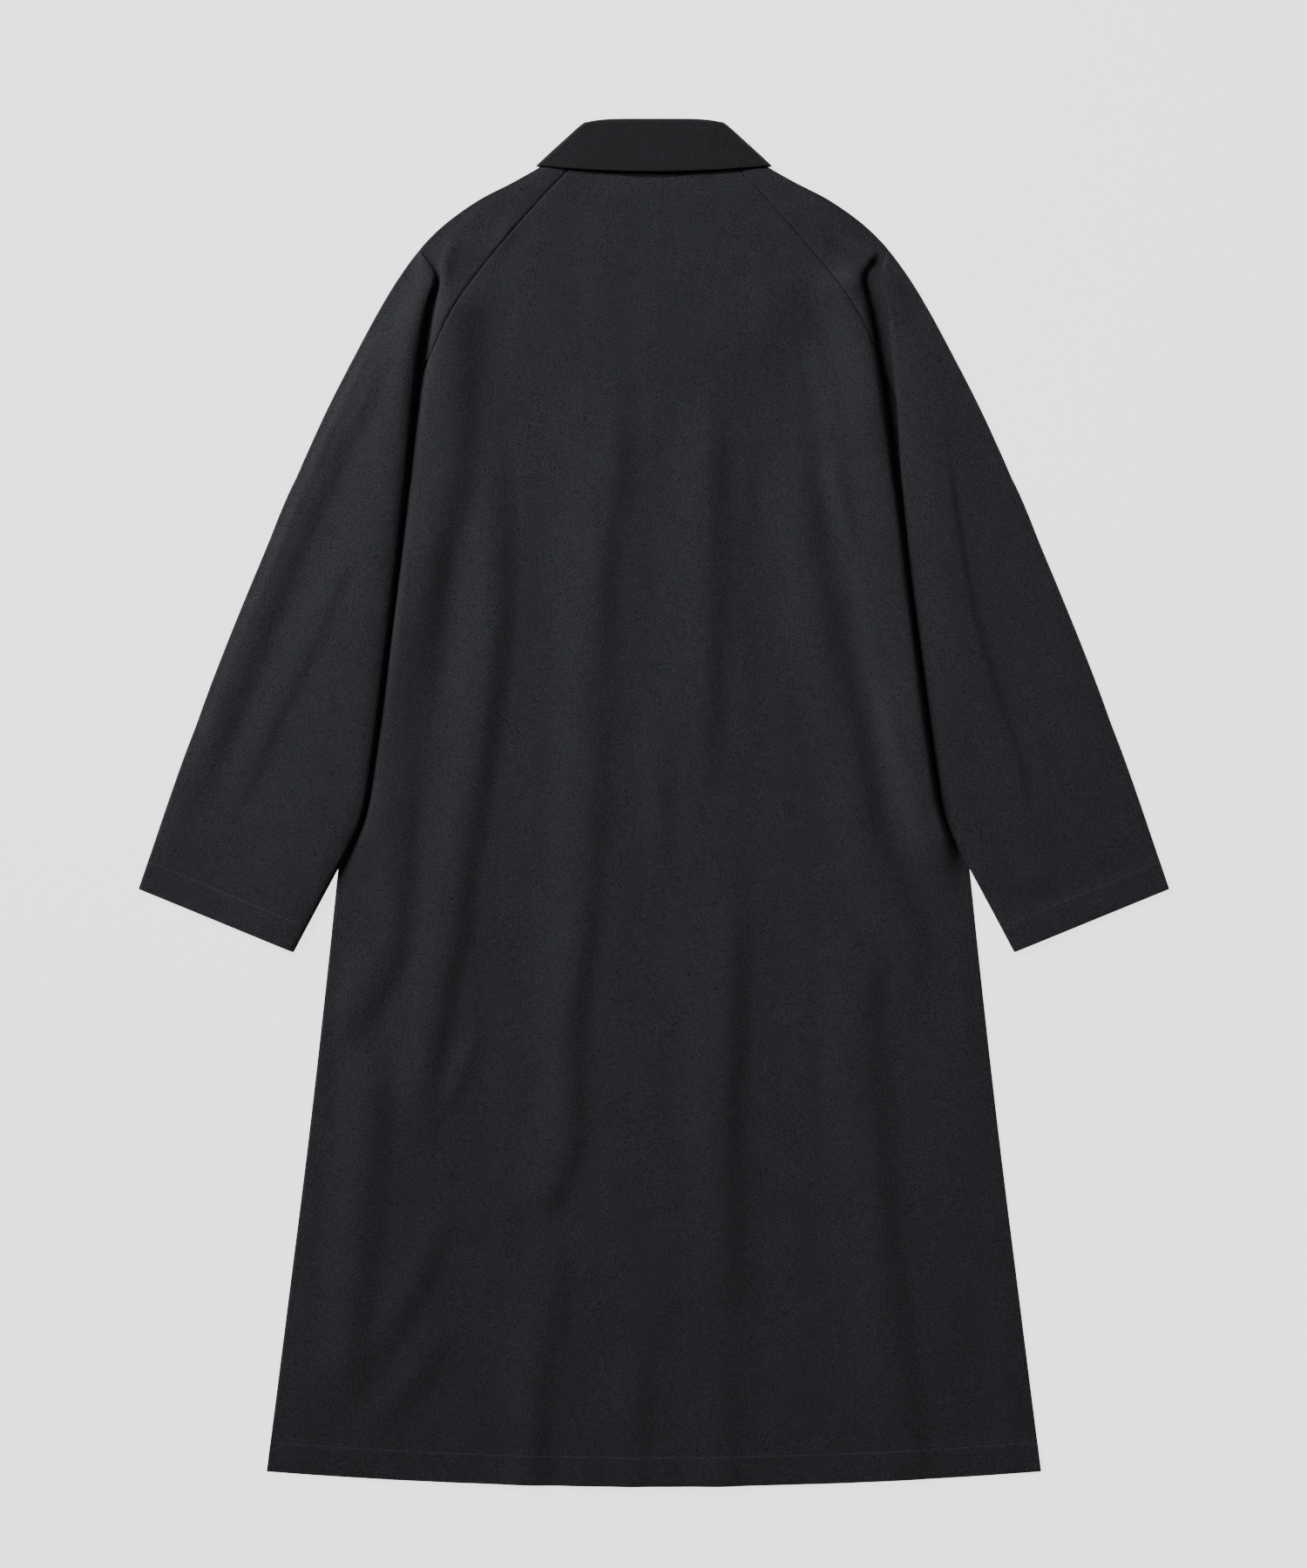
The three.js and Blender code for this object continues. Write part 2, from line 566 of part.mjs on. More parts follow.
// One row of the collar, from its left front end round the back to the right one
function collarRow(row) {
  const half = [];
  const straight = row.sideOut - row.radius;
  for (let c = 0; c < COLLAR_BACK_COLUMNS; c += 1) {
    const out = (straight * c) / COLLAR_BACK_COLUMNS;
    const share = out / straight;
    const up = row.backUp + (row.sideUp - row.backUp) * share ** row.bend;
    const proud = row.proud * (1 - share ** 4);
    half.push(new THREE.Vector3(out, up, LOOP_MIDDLE + row.radius + proud));
  }
  for (let c = 0; c < COLLAR_SIDE_COLUMNS; c += 1) {
    const angle = (Math.PI * c) / COLLAR_SIDE_COLUMNS;
    const out = straight + row.radius * Math.sin(angle);
    half.push(new THREE.Vector3(out, row.sideUp, LOOP_MIDDLE + row.radius * Math.cos(angle)));
  }
  for (let c = 0; c <= COLLAR_FRONT_COLUMNS; c += 1) {
    const t = c / COLLAR_FRONT_COLUMNS;
    const out = straight + (row.endOut - straight) * t;
    const climb = ((out - row.endOut) / (row.sideOut - row.endOut)) ** row.frontBend;
    const up = t > 0 ? row.endUp + (row.sideUp - row.endUp) * climb : row.sideUp;
    half.push(new THREE.Vector3(out, up, LOOP_MIDDLE - row.radius));
  }
  const left = half.slice(1).reverse().map((spot) => spot.clone().setX(-spot.x));
  return [...left, ...half];
}

function collarPiece(name, firstRow, lastRow, lift) {
  const spots = COLLAR.map((row) => collarRow(row));
  const grid = [];
  for (let r = firstRow; r <= lastRow; r += 1) {
    grid.push(spots[r].map((spot, c) => {
      const before = spots[Math.max(r - 1, firstRow)][c];
      const after = spots[Math.min(r + 1, lastRow)][c];
      const left = spots[r][Math.max(c - 1, 0)];
      const right = spots[r][Math.min(c + 1, spots[r].length - 1)];
      const normal = right.clone().sub(left).cross(after.clone().sub(before)).normalize();
      const point = spot.clone();
      point.y += r === firstRow ? -lift : 0;
      return { point, normal };
    }));
  }
  return clothMesh(name, COLLAR_COLOUR, grid);
}

const coat = new THREE.Group();
coat.name = "coat";
coat.add(frontPiece("front_left", -1, false));
coat.add(frontPiece("front_right", 1, true));
coat.add(backPiece());
for (const [sideName, side] of [["left", -1], ["right", 1]]) {
  coat.add(sleeveFrontPiece(`sleeve_${sideName}_front`, side));
  coat.add(sleeveBackPiece(`sleeve_${sideName}_back`, side));
}
coat.add(collarPiece("collar_fall", 0, STAND_SEAM_ROW, 0));
coat.add(collarPiece("collar_stand", STAND_SEAM_ROW, COLLAR.length - 1, SEAM_GAP));

// The origin is on the surface, under the middle of the coat's box
const box = new THREE.Box3().setFromObject(coat);
const middle = box.getCenter(new THREE.Vector3());
coat.position.set(-middle.x, -middle.y, -box.min.z);

export default coat;
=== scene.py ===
# A raglan mackintosh coat, laid face down on a pale floor and seen from above its back
import math

import bmesh
import bpy
import numpy as np
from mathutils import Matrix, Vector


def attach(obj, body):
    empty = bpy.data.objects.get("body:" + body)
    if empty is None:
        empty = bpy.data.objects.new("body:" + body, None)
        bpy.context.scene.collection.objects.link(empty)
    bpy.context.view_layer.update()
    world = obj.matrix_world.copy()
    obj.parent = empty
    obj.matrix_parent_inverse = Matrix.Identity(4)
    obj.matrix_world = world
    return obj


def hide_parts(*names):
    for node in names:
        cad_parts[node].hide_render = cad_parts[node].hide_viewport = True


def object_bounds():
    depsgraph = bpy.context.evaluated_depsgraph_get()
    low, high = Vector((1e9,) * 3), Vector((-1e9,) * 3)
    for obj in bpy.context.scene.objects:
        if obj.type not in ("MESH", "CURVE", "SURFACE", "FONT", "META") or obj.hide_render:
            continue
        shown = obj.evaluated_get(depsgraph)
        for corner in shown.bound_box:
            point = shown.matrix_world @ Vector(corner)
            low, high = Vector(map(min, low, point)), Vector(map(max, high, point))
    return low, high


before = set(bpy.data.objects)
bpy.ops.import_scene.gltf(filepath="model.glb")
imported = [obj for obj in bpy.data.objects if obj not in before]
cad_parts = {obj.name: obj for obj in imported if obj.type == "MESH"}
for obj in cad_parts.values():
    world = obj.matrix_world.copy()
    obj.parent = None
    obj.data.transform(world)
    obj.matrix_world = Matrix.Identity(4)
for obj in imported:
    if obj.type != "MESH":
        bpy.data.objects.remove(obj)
solid_low, solid_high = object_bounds()

# The two fronts
# Each is one piece of black bonded cotton, cut from the side seam to just past the centre
# line, with its hem turned in. The left one lies flat on the floor and the right one steps
# over it. The back hides them both, and they are seen only from below.
MM = 0.001
CLOTH = 1.0
TURN_GAP = 1.05
FIRST_LEVEL = CLOTH / 2
LAYER = 2.0
FRONT_STEP_LEVEL = 2.1
SEAM_SPACE = 0.7
HEM_CORNER_UP = 14
HEM_TURN = 32
BACK_NECK_UP = 1202
NECK_SIDE_OUT = 88
NECK_SIDE_RISE = 19
FRONT_NECK_UP = 1165
COLLAR_END_OUT = 4
NECK_SPACE = 0.7
FRONT_PAST_CENTRE = 36
FRONT_INSET = 1
FRONT_HEM_UP = 2
COLLAR_CENTRE_UP = 1190
LOWER_RISE = (130, 185)
FRONT_STEP = (37, 52)
ARMPIT_UP = 917
FRONT_LAST_ROW_UP = 1196
FRONT_PITCH = 8
FRONT_WIDE_COLUMNS = 38
FRONT_LAP_COLUMNS = 24
TURN_STEPS = 6
RIM_BULGE = 0.8
MERGE_REACH = 0.02
COTTON_DARK = (0.0052, 0.0055, 0.0065)
COTTON_LIGHT = (0.0412, 0.043, 0.05)
MOTTLING = 0.17
FLECK_LENGTH = 1.55
FLECK_WIDTH = 0.65
FLECK_SLANTS = (42, -48)
FLECK_CLEAR = (0.475, 0.665)
FLECK_HEIGHT = 0.58

# height above the hem, and how far out from the centre line
SIDE_SEAM = [
    (14, 356), (165, 337), (325, 317), (485, 299), (557, 291.5), (700, 276), (805, 266),
    (917, 256),
]
FRONT_RAGLAN = [
    (917, 256), (965, 229), (1010, 203), (1050, 179), (1080, 160), (1105, 143), (1128, 127),
    (1150, 111), (1170, 96), (1186, 82), (1199.3, 70),
]


def smooth_step(value):
    t = np.clip(value, 0, 1)
    return t * t * (3 - 2 * t)


def plateau(distance, reach):
    """1 within the first reach, falling softly to 0 at the second."""
    return 1 - smooth_step((distance - reach[0]) / (reach[1] - reach[0]))


def smooth_curve(places, values, wanted):
    """A soft curve through all the values, which never swings past them."""
    places = np.asarray(places, float)
    values = np.asarray(values, float)
    span = np.diff(places)
    slope = np.diff(values) / span
    lean = np.zeros(len(places))
    lean[0] = slope[0]
    lean[-1] = slope[-1]
    same_way = slope[:-1] * slope[1:] > 1e-12
    before = np.where(same_way, slope[:-1], 1)
    after = np.where(same_way, slope[1:], 1)
    weight = 2 * span[1:] + span[:-1]
    other = span[1:] + 2 * span[:-1]
    lean[1:-1] = np.where(same_way, (weight + other) / (weight / before + other / after), 0)
    wanted = np.clip(np.asarray(wanted, float), places[0], places[-1])
    i = np.clip(np.searchsorted(places, wanted) - 1, 0, len(places) - 2)
    t = (wanted - places[i]) / span[i]
    start = values[i] * (1 + 2 * t) * (1 - t) ** 2 + lean[i] * span[i] * t * (1 - t) ** 2
    end = values[i + 1] * t * t * (3 - 2 * t) + lean[i + 1] * span[i] * t * t * (t - 1)
    return start + end


def read_table(table, wanted):
    return smooth_curve([row[0] for row in table], [row[1] for row in table], wanted)


def lower_level(x, up):
    """Level of the fronts, which rise over the thick cloth round the collar."""
    near_collar = plateau(np.hypot(x, up - COLLAR_CENTRE_UP), LOWER_RISE)
    return FIRST_LEVEL + LAYER * near_collar


def front_neck(x):
    """Height of the front's neck edge, from the centre out to the shoulder."""
    outward = np.maximum(0, x - COLLAR_END_OUT) / (NECK_SIDE_OUT - COLLAR_END_OUT)
    return FRONT_NECK_UP + (BACK_NECK_UP + NECK_SIDE_RISE - FRONT_NECK_UP) * outward ** 2


def in_frame(x, up, level):
    """Points in metres from sizes in millimetres: across, above the hem, above the floor."""
    x, up, level = np.broadcast_arrays(x, up, level)
    points = np.stack([x * MM, up * MM + solid_low.y, level * MM], axis=-1)
    return points.astype(float)


def next_distinct(points, step):
    """For a line of points, the nearest one on that side that isn't at the same place."""
    moved = np.linalg.norm(np.diff(points, axis=0), axis=1) > 1e-7
    group = np.concatenate([[0], np.cumsum(moved)])
    wanted = np.clip(group + step, 0, group[-1])
    side = "left" if step > 0 else "right"
    found = np.searchsorted(group, wanted, side=side) - (0 if step > 0 else 1)
    return points[np.where(wanted == group, np.arange(len(points)), found)]


def grid_normals(middle):
    across = np.stack([next_distinct(row, 1) - next_distinct(row, -1) for row in middle])
    along = np.gradient(middle, axis=0)
    normal = np.cross(across, along)
    return normal / np.maximum(np.linalg.norm(normal, axis=2, keepdims=True), 1e-12)


def turned_in(middle, rows_back, inside):
    """The grid carried round its last row and back along its inner face."""
    into = grid_normals(middle) * inside
    edge = middle[-1]
    outward = edge - middle[-2]
    outward -= np.sum(outward * into[-1], axis=1, keepdims=True) * into[-1]
    outward /= np.linalg.norm(outward, axis=1, keepdims=True)
    radius = TURN_GAP * MM / 2
    rows = list(middle)
    for k in range(1, TURN_STEPS):
        angle = math.pi * k / TURN_STEPS
        round_edge = into[-1] * (1 - math.cos(angle)) + outward * math.sin(angle)
        rows.append(edge + radius * round_edge)
    for k in range(1, rows_back + 1):
        rows.append(middle[-k] + into[-k] * TURN_GAP * MM)
    return np.stack(rows)


def placed(name, data):
    """A new object of this data in the scene."""
    thing = bpy.data.objects.new(name, data)
    bpy.context.scene.collection.objects.link(thing)
    return thing


def cloth_wall(name, middle, thickness=CLOTH, merge=False):
    """A closed wall of cloth round its middle surface, with softly rounded cut edges."""
    normal = grid_normals(middle)
    rows, columns = middle.shape[:2]
    half = thickness * MM / 2
    count = rows * columns
    grid = np.arange(count).reshape(rows, columns)
    loop = np.concatenate([grid[0], grid[1:, -1], grid[-1, -2::-1], grid[-2:0:-1, 0]])
    edge = middle.reshape(-1, 3)[loop]
    edge_normal = normal.reshape(-1, 3)[loop]
    ahead = np.roll(edge, -1, axis=0) - edge
    behind = edge - np.roll(edge, 1, axis=0)
    outward = np.cross(ahead + behind, edge_normal)
    size = np.linalg.norm(outward, axis=1)
    for k in np.flatnonzero(size < 1e-9):
        outward[k] = outward[k - 1]
        size[k] = np.linalg.norm(outward[k])
    outward /= np.maximum(size, 1e-12)[:, None]
    rings = []
    for angle in (45, 90, 135):
        turn = math.radians(angle)
        bulge = RIM_BULGE * outward * math.sin(turn)
        rings.append(edge + half * (edge_normal * math.cos(turn) + bulge))
    points = np.concatenate([
        (middle + normal * half).reshape(-1, 3), (middle - normal * half).reshape(-1, 3), *rings,
    ])
    quads = np.stack([grid[:-1, :-1], grid[:-1, 1:], grid[1:, 1:], grid[1:, :-1]], axis=-1)
    quads = quads.reshape(-1, 4)
    faces = [quads, (quads + count)[:, ::-1]]
    step = len(loop)
    lines = [loop] + [2 * count + k * step + np.arange(step) for k in range(3)] + [loop + count]
    for upper, lower in zip(lines, lines[1:]):
        ring = [upper, lower, np.roll(lower, -1), np.roll(upper, -1)]
        faces.append(np.stack(ring, axis=-1))
    mesh = bpy.data.meshes.new(name)
    mesh.from_pydata(points.tolist(), [], np.concatenate(faces).tolist())
    if merge:
        work = bmesh.new()
        work.from_mesh(mesh)
        bmesh.ops.remove_doubles(work, verts=work.verts, dist=MERGE_REACH * MM)
        bmesh.ops.dissolve_degenerate(work, edges=work.edges, dist=MERGE_REACH * MM / 2)
        work.to_mesh(mesh)
        work.free()
    mesh.polygons.foreach_set("use_smooth", np.ones(len(mesh.polygons), bool))
    mesh.update()
    return placed(name, mesh)


def link(tree, start, socket, end, entry):
    tree.links.new(start.outputs[socket], end.inputs[entry])


def cloth_grain_group():
    """Short crossing flecks of the woven face, and the soft unevenness of its colour."""
    group = bpy.data.node_groups.new("cloth grain", "ShaderNodeTree")
    for name in ("Fleck Length", "Fleck Width", "Mottling"):
        group.interface.new_socket(name, in_out="INPUT", socket_type="NodeSocketFloat")
    for name in ("Height", "Tone"):
        group.interface.new_socket(name, in_out="OUTPUT", socket_type="NodeSocketFloat")
    nodes = group.nodes
    entry = nodes.new("NodeGroupInput")
    place = nodes.new("ShaderNodeTexCoord")
    flecks = []
    for slant in FLECK_SLANTS:
        turned = nodes.new("ShaderNodeVectorRotate")
        turned.rotation_type = "Z_AXIS"
        turned.inputs["Angle"].default_value = math.radians(slant)
        link(group, place, "Object", turned, "Vector")
        sizes = nodes.new("ShaderNodeCombineXYZ")
        link(group, entry, "Fleck Length", sizes, "X")
        link(group, entry, "Fleck Width", sizes, "Y")
        link(group, entry, "Fleck Width", sizes, "Z")
        scaled = nodes.new("ShaderNodeVectorMath")
        scaled.operation = "DIVIDE"
        link(group, turned, "Vector", scaled, 0)
        link(group, sizes, "Vector", scaled, 1)
        fleck = nodes.new("ShaderNodeTexNoise")
        fleck.inputs["Scale"].default_value = 1000
        fleck.inputs["Detail"].default_value = 1
        fleck.inputs["Roughness"].default_value = 0.6
        link(group, scaled, "Vector", fleck, "Vector")
        flecks.append(fleck)
    higher = nodes.new("ShaderNodeMath")
    higher.operation = "MAXIMUM"
    link(group, flecks[0], "Fac", higher, 0)
    link(group, flecks[1], "Fac", higher, 1)
    clear = nodes.new("ShaderNodeMapRange")
    clear.inputs["From Min"].default_value = FLECK_CLEAR[0]
    clear.inputs["From Max"].default_value = FLECK_CLEAR[1]
    link(group, higher, "Value", clear, "Value")
    broad = nodes.new("ShaderNodeTexNoise")
    broad.inputs["Scale"].default_value = 26
    broad.inputs["Detail"].default_value = 2
    broad.inputs["Roughness"].default_value = 0.5
    link(group, place, "Object", broad, "Vector")
    tone = nodes.new("ShaderNodeMix")
    link(group, entry, "Mottling", tone, "Factor")
    link(group, clear, "Result", tone, "A")
    link(group, broad, "Fac", tone, "B")
    leave = nodes.new("NodeGroupOutput")
    link(group, clear, "Result", leave, "Height")
    link(group, tone, "Result", leave, "Tone")
    return group


CLOTH_GRAIN = cloth_grain_group()


def cloth_material(name, dark, light):
    """Matt black cotton: nearly no gloss, a thin grey bloom and a fleck in both slants."""
    material = bpy.data.materials.new(name)
    material.use_nodes = True
    tree = material.node_tree
    surface = tree.nodes["Principled BSDF"]
    surface.inputs["Roughness"].default_value = 0.86
    surface.inputs["Specular IOR Level"].default_value = 0.22
    surface.inputs["Sheen Weight"].default_value = 0.06
    surface.inputs["Sheen Roughness"].default_value = 0.55
    surface.inputs["Sheen Tint"].default_value = (0.86, 0.9, 1, 1)
    grain = tree.nodes.new("ShaderNodeGroup")
    grain.node_tree = CLOTH_GRAIN
    grain.inputs["Fleck Length"].default_value = FLECK_LENGTH
    grain.inputs["Fleck Width"].default_value = FLECK_WIDTH
    grain.inputs["Mottling"].default_value = MOTTLING
    colour = tree.nodes.new("ShaderNodeMix")
    colour.data_type = "RGBA"
    colour.inputs["A"].default_value = (*dark, 1)
    colour.inputs["B"].default_value = (*light, 1)
    link(tree, grain, "Tone", colour, "Factor")
    link(tree, colour, "Result", surface, "Base Color")
    relief = tree.nodes.new("ShaderNodeBump")
    relief.inputs["Strength"].default_value = 1
    relief.inputs["Distance"].default_value = FLECK_HEIGHT * MM
    link(tree, grain, "Height", relief, "Height")
    link(tree, relief, "Normal", surface, "Normal")
    return material


FRONT_CLOTH = cloth_material("front cloth", COTTON_DARK, COTTON_LIGHT)


def front_panel(node, side, steps):
    """One front, from its neck down to its hem, with the turned-in hem last."""
    places = []
    for up in np.arange(HEM_CORNER_UP, ARMPIT_UP, FRONT_PITCH):
        places.append((up + FRONT_HEM_UP, read_table(SIDE_SEAM, up) - FRONT_INSET))
    for up in np.arange(ARMPIT_UP + FRONT_HEM_UP, FRONT_LAST_ROW_UP, FRONT_PITCH - 1):
        places.append((up, read_table(FRONT_RAGLAN, up) - SEAM_SPACE - FRONT_INSET))
    corner_up, corner_out = FRONT_RAGLAN[-1]
    places.append((corner_up, corner_out - SEAM_SPACE - FRONT_INSET))
    top_up = places[-1][0]
    low_up = places[0][0]
    middle = []
    for up, out in reversed(places):
        share = (up - low_up) / (top_up - low_up)
        centre_up = FRONT_HEM_UP + share * (FRONT_NECK_UP - FRONT_HEM_UP)
        wide = np.linspace(out, FRONT_STEP[1], FRONT_WIDE_COLUMNS)
        lapped = np.linspace(FRONT_STEP[1], -FRONT_PAST_CENTRE, FRONT_LAP_COLUMNS)
        x = np.concatenate([wide, lapped[1:]])
        outward = np.maximum(0, x / out) ** 2
        height = np.minimum(centre_up + (up - centre_up) * outward, front_neck(x) - NECK_SPACE)
        step = FRONT_STEP_LEVEL * plateau(x, FRONT_STEP) if steps else 0
        middle.append(in_frame(side * x, height, lower_level(x, height) + step))
    middle = turned_in(np.stack(middle), HEM_TURN // FRONT_PITCH + 1, side)
    piece = cloth_wall(f"{node}_cloth", middle)
    piece.data.materials.append(FRONT_CLOTH)
    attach(piece, "root")
    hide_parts(node)
    return piece


left_front = front_panel("front_left", -1, False)
right_front = front_panel("front_right", 1, True)

# The back
# One piece of the same cloth from side seam to side seam, lying over both fronts. It is cut
# wide, so it hangs in long soft folds from the shoulders, and it rises beside each sleeve
# and dips under it. Its hem is turned in and stitched through.
SECOND_LEVEL = 2.8
UPPER_RISE = (145, 215)
BACK_STEP = (64, 100)
BACK_PITCH = 5.5
BACK_COLUMNS = 104
BESIDE_COLUMNS = 12
EDGE_COLUMNS = [3.6, 2.2, 1.2, 0.5, 0]
LEAST_BESIDE = 8
FOLD_LEAVES = 1.2
FOLD_STEP = 25
STITCH_UP = 26
STITCH_PITCH = 3.0
STITCH_LENGTH = 2.1
STITCH_MARGINS = (1, 3)
THREAD_RADIUS = 0.34
THREAD_SIDES = 6
THREAD_ALONG = np.array([0, 0.18, 0.5, 0.82, 1])
THREAD_ARCH = np.array([-0.9, 0.25, 0.5, 0.25, -0.9])
THREAD_THICK = np.array([0.6, 0.95, 1, 0.95, 0.6])
HEM_LIFT = 0.95
HEM_LIFT_FADE = 6
HEM_REACH = 40
HEM_ROWS = [26.6, 27.4, 28.6, 30.5, 33, 36.5]
HEM_BAND_ROWS = [0, 0.8, 2, 4, 7, 10.5, 14, 17.5, 20.5, 22.8, 24.2, 25, 25.5, 26]
GROOVE = (0.55, 1.1)
EDGE_DROP = (0.9, 1.2)
EDGE_DROP_FADE = (30, 40)
RAGLAN_DROP = (0.8, 1.0)
PUFF = 1.5
PUFF_FADE = (4, 60)
SEWN_FLAT = 2
SEWN_CALM = 22
NECK_FLAT = 1
NECK_CALM = 24

# uneven spots of the cloth: seed, width, length and height of the spots
BODY_BROAD = (3, 60, 170, 0.9)
BODY_LONG = (5, 17, 120, 0.6)
BODY_FINE = (7, 9, 26, 0.08)
HEM_PUCKERS = (17, 15, 46, 0.5)
PUCKER_SLANT = 0.7
PUCKER_REACH = (52, 95)
SPOTS = (90, 160)
SPOTS_LEFT_OF_CENTRE = 45
SPOTS_BELOW_HEM = 12

# width of the dark cleft between the body and each sleeve, by height
LEFT_CLEFT = [
    (500, 1.8), (900, 2.4), (940, 3.6), (1000, 6), (1040, 7.5), (1080, 7.5), (1110, 5), (1300, 2),
]
RIGHT_CLEFT = [
    (500, 2), (700, 2.6), (880, 3.4), (940, 5.5), (1000, 8), (1040, 9.5), (1080, 10), (1110, 8),
    (1137, 4), (1300, 0.5),
]
# how wide the body rounds down into the cleft, by height
LEFT_BULGE = [(880, 10), (1000, 11), (1060, 12), (1137, 12)]
RIGHT_BULGE = [(880, 8), (1000, 9), (1060, 10), (1100, 13), (1137, 16)]
CLEFT_COLUMNS = [
    -30, -26, -22, -19, -16.5, -14, -12.5, -11.2, -10, -9.2, -8.4, -7.6, -6.8, -6, -5.2, -4.5, -3.8,
    -3.1, -2.5, -2, -1.5, -0.5, 1, 3,
]

# the raglan seam from the neck to the armpit, out and up
RAGLAN = [
    (74, 1214.9), (82, 1205), (92, 1195), (104, 1182), (119, 1165.5), (141, 1140),
    (158, 1119.5), (173, 1099.5), (185, 1081), (206, 1037), (226, 989), (245.5, 941),
    (252.5, 925), (256, 917),
]
# the sleeve's folded edge over the body, from the shoulder to the cuff, out and up
SLEEVE_FOLD = [
    (214, 1137), (201, 1109), (207.5, 1085), (215.5, 1037), (221, 989), (225.5, 941),
    (227, 925), (228, 917), (230.5, 893), (233, 869), (238.5, 821), (244.5, 773),
    (250.5, 725), (257, 677), (266, 620), (277, 592), (293, 562), (313, 525), (331, 491),
]

# Each fold runs down its path of (x, up), and is rise high, falling away over the given
# widths to its left and right; it fades in and out over the two fade lengths.
FOLDS = [
    ("beside the left sleeve", 6.2, 44, 32, 34, 110, [
        (-172, 1112), (-178, 1070), (-182, 1010), (-185, 949), (-192, 905), (-205, 866),
        (-215, 821), (-223, 765), (-234, 700)]),
    ("long left", 5.8, 44, 25, 120, 120, [
        (-156, 975), (-148, 905), (-144, 850), (-146, 800), (-153, 750), (-160, 701),
        (-171, 621), (-180, 565), (-188, 501), (-199, 453), (-211, 381), (-226, 275)]),
    ("under the left sleeve", 4.4, 36, 28, 80, 60, [
        (-240, 690), (-238, 600), (-240, 545), (-245, 497), (-266, 450), (-297, 400)]),
    ("left above the hem", 4.6, 38, 30, 60, 80, [
        (-258, 425), (-263, 333), (-268, 277), (-276, 205), (-283, 117), (-292, 45)]),
    ("upper left slant", 2.5, 25, 19, 60, 70, [
        (-188, 270), (-208, 211), (-232, 163), (-270, 98)]),
    ("lower left slant", 2.5, 25, 19, 50, 50, [
        (-182, 160), (-226, 90), (-266, 44)]),
    ("short left", 2.2, 21, 14, 45, 45, [(-156, 432), (-182, 366), (-210, 328)]),
    ("centre left, upper", 3.7, 42, 30, 110, 160, [
        (-50, 1040), (-42, 965), (-40, 917), (-50, 865), (-54, 805), (-62, 605), (-67, 490)]),
    ("centre left, middle", 4.8, 42, 25, 170, 26, [
        (-62, 640), (-67, 525), (-79, 448), (-83, 400), (-80, 333), (-92, 283), (-111, 247)]),
    ("centre left, hem", 4.2, 36, 26, 70, 60, [
        (-94, 250), (-99, 165), (-107, 101), (-115, 20), (-120, -60)]),
    ("centre", 1.8, 21, 18, 60, 60, [(3, 725), (5, 650), (6, 545)]),
    ("centre right, upper", 3.7, 42, 28, 100, 130, [
        (58, 1030), (48, 917), (48, 821), (42, 715), (44, 600)]),
    ("centre right, lower", 3.6, 44, 28, 130, 110, [
        (72, 570), (66, 421), (58, 341), (61, 229), (58, 110)]),
    ("centre hem", 2.4, 32, 18, 60, 60, [(-16, 140), (-17, 20), (-18, -60)]),
    ("right of centre, hem", 2.4, 32, 22, 60, 60, [(56, 150), (60, 20), (62, -60)]),
    ("long right", 4.8, 44, 25, 130, 60, [
        (123, 1000), (134, 905), (144, 841), (154, 784), (170, 722), (183, 670), (194, 608),
        (216, 546), (237, 499), (266, 461)]),
    ("beside the right sleeve", 4, 20, 75, 80, 70, [
        (163, 1050), (168, 955), (182, 889), (200, 794), (218, 727), (232, 661), (249, 603),
        (270, 540)]),
    ("beside the right sleeve, high", 3.8, 38, 28, 24, 70, [
        (174, 1122), (182, 1085), (190, 1040), (197, 990), (204, 930)]),
    ("right, first small", 2.2, 19, 11, 30, 30, [(147, 1052), (171, 975)]),
    ("right, second small", 2, 17, 11, 36, 36, [(162, 958), (172, 905), (183, 850)]),
    ("right, third small", 1.8, 15, 11, 24, 24, [(211, 724), (229, 658)]),
    ("right above the hem", 4.1, 46, 26, 130, 110, [
        (186, 555), (191, 421), (196, 349), (202, 285), (210, 205), (226, 85), (236, -30)]),
    ("left yoke", 1.8, 14, 12, 22, 22, [(-122, 1174), (-136, 1152), (-151, 1124)]),
    ("right yoke", 1.2, 14, 12, 22, 22, [(120, 1190), (150, 1160), (176, 1140)]),
    ("left of the shoulder end", 2.2, 8, 12, 9, 20, [
        (-184, 1148), (-187, 1138), (-192, 1120), (-199, 1098), (-204, 1080)]),
    ("right shoulder crease", 1.8, 7, 9, 14, 12, [
        (168, 1150), (186, 1142), (203, 1133), (212, 1118)]),
    ("right shoulder dent", -1.5, 12, 12, 10, 14, [
        (184, 1136), (196, 1126), (203, 1106), (207, 1084)]),
]
# The body rises towards each sleeve: how high, then how far from the folded edge the rise
# begins to fall, and over what width. It fades out between the two upper heights and again
# between the two lower ones.
LEFT_LIP = (2.8, 8, 50)
RIGHT_LIP = (9.4, 9, 52)
LIP_ENDS = (1150, 1098, 600, 545)


def distance_along(path, x, up):
    """Signed distance from a path, more than 0 to its right, and how far along it lies."""
    nearest = np.full(x.shape, 1e9)
    signed = np.zeros(x.shape)
    along = np.zeros(x.shape)
    passed = 0.0
    for (x0, up0), (x1, up1) in zip(path, path[1:]):
        dx = x1 - x0
        dup = up1 - up0
        length = math.hypot(dx, dup)
        t = np.clip(((x - x0) * dx + (up - up0) * dup) / length ** 2, 0, 1)
        away = np.hypot(x - x0 - t * dx, up - up0 - t * dup)
        closer = away < nearest
        side = np.sign(dx * (up - up0) - dup * (x - x0))
        nearest = np.where(closer, away, nearest)
        signed = np.where(closer, away * side, signed)
        along = np.where(closer, passed + t * length, along)
        passed += length
    return signed, along, passed


def along_path(path):
    """How far along it each point of a path of (x, up) lies."""
    steps = [math.hypot(b[0] - a[0], b[1] - a[1]) for a, b in zip(path, path[1:])]
    return np.concatenate([[0], np.cumsum(steps)])


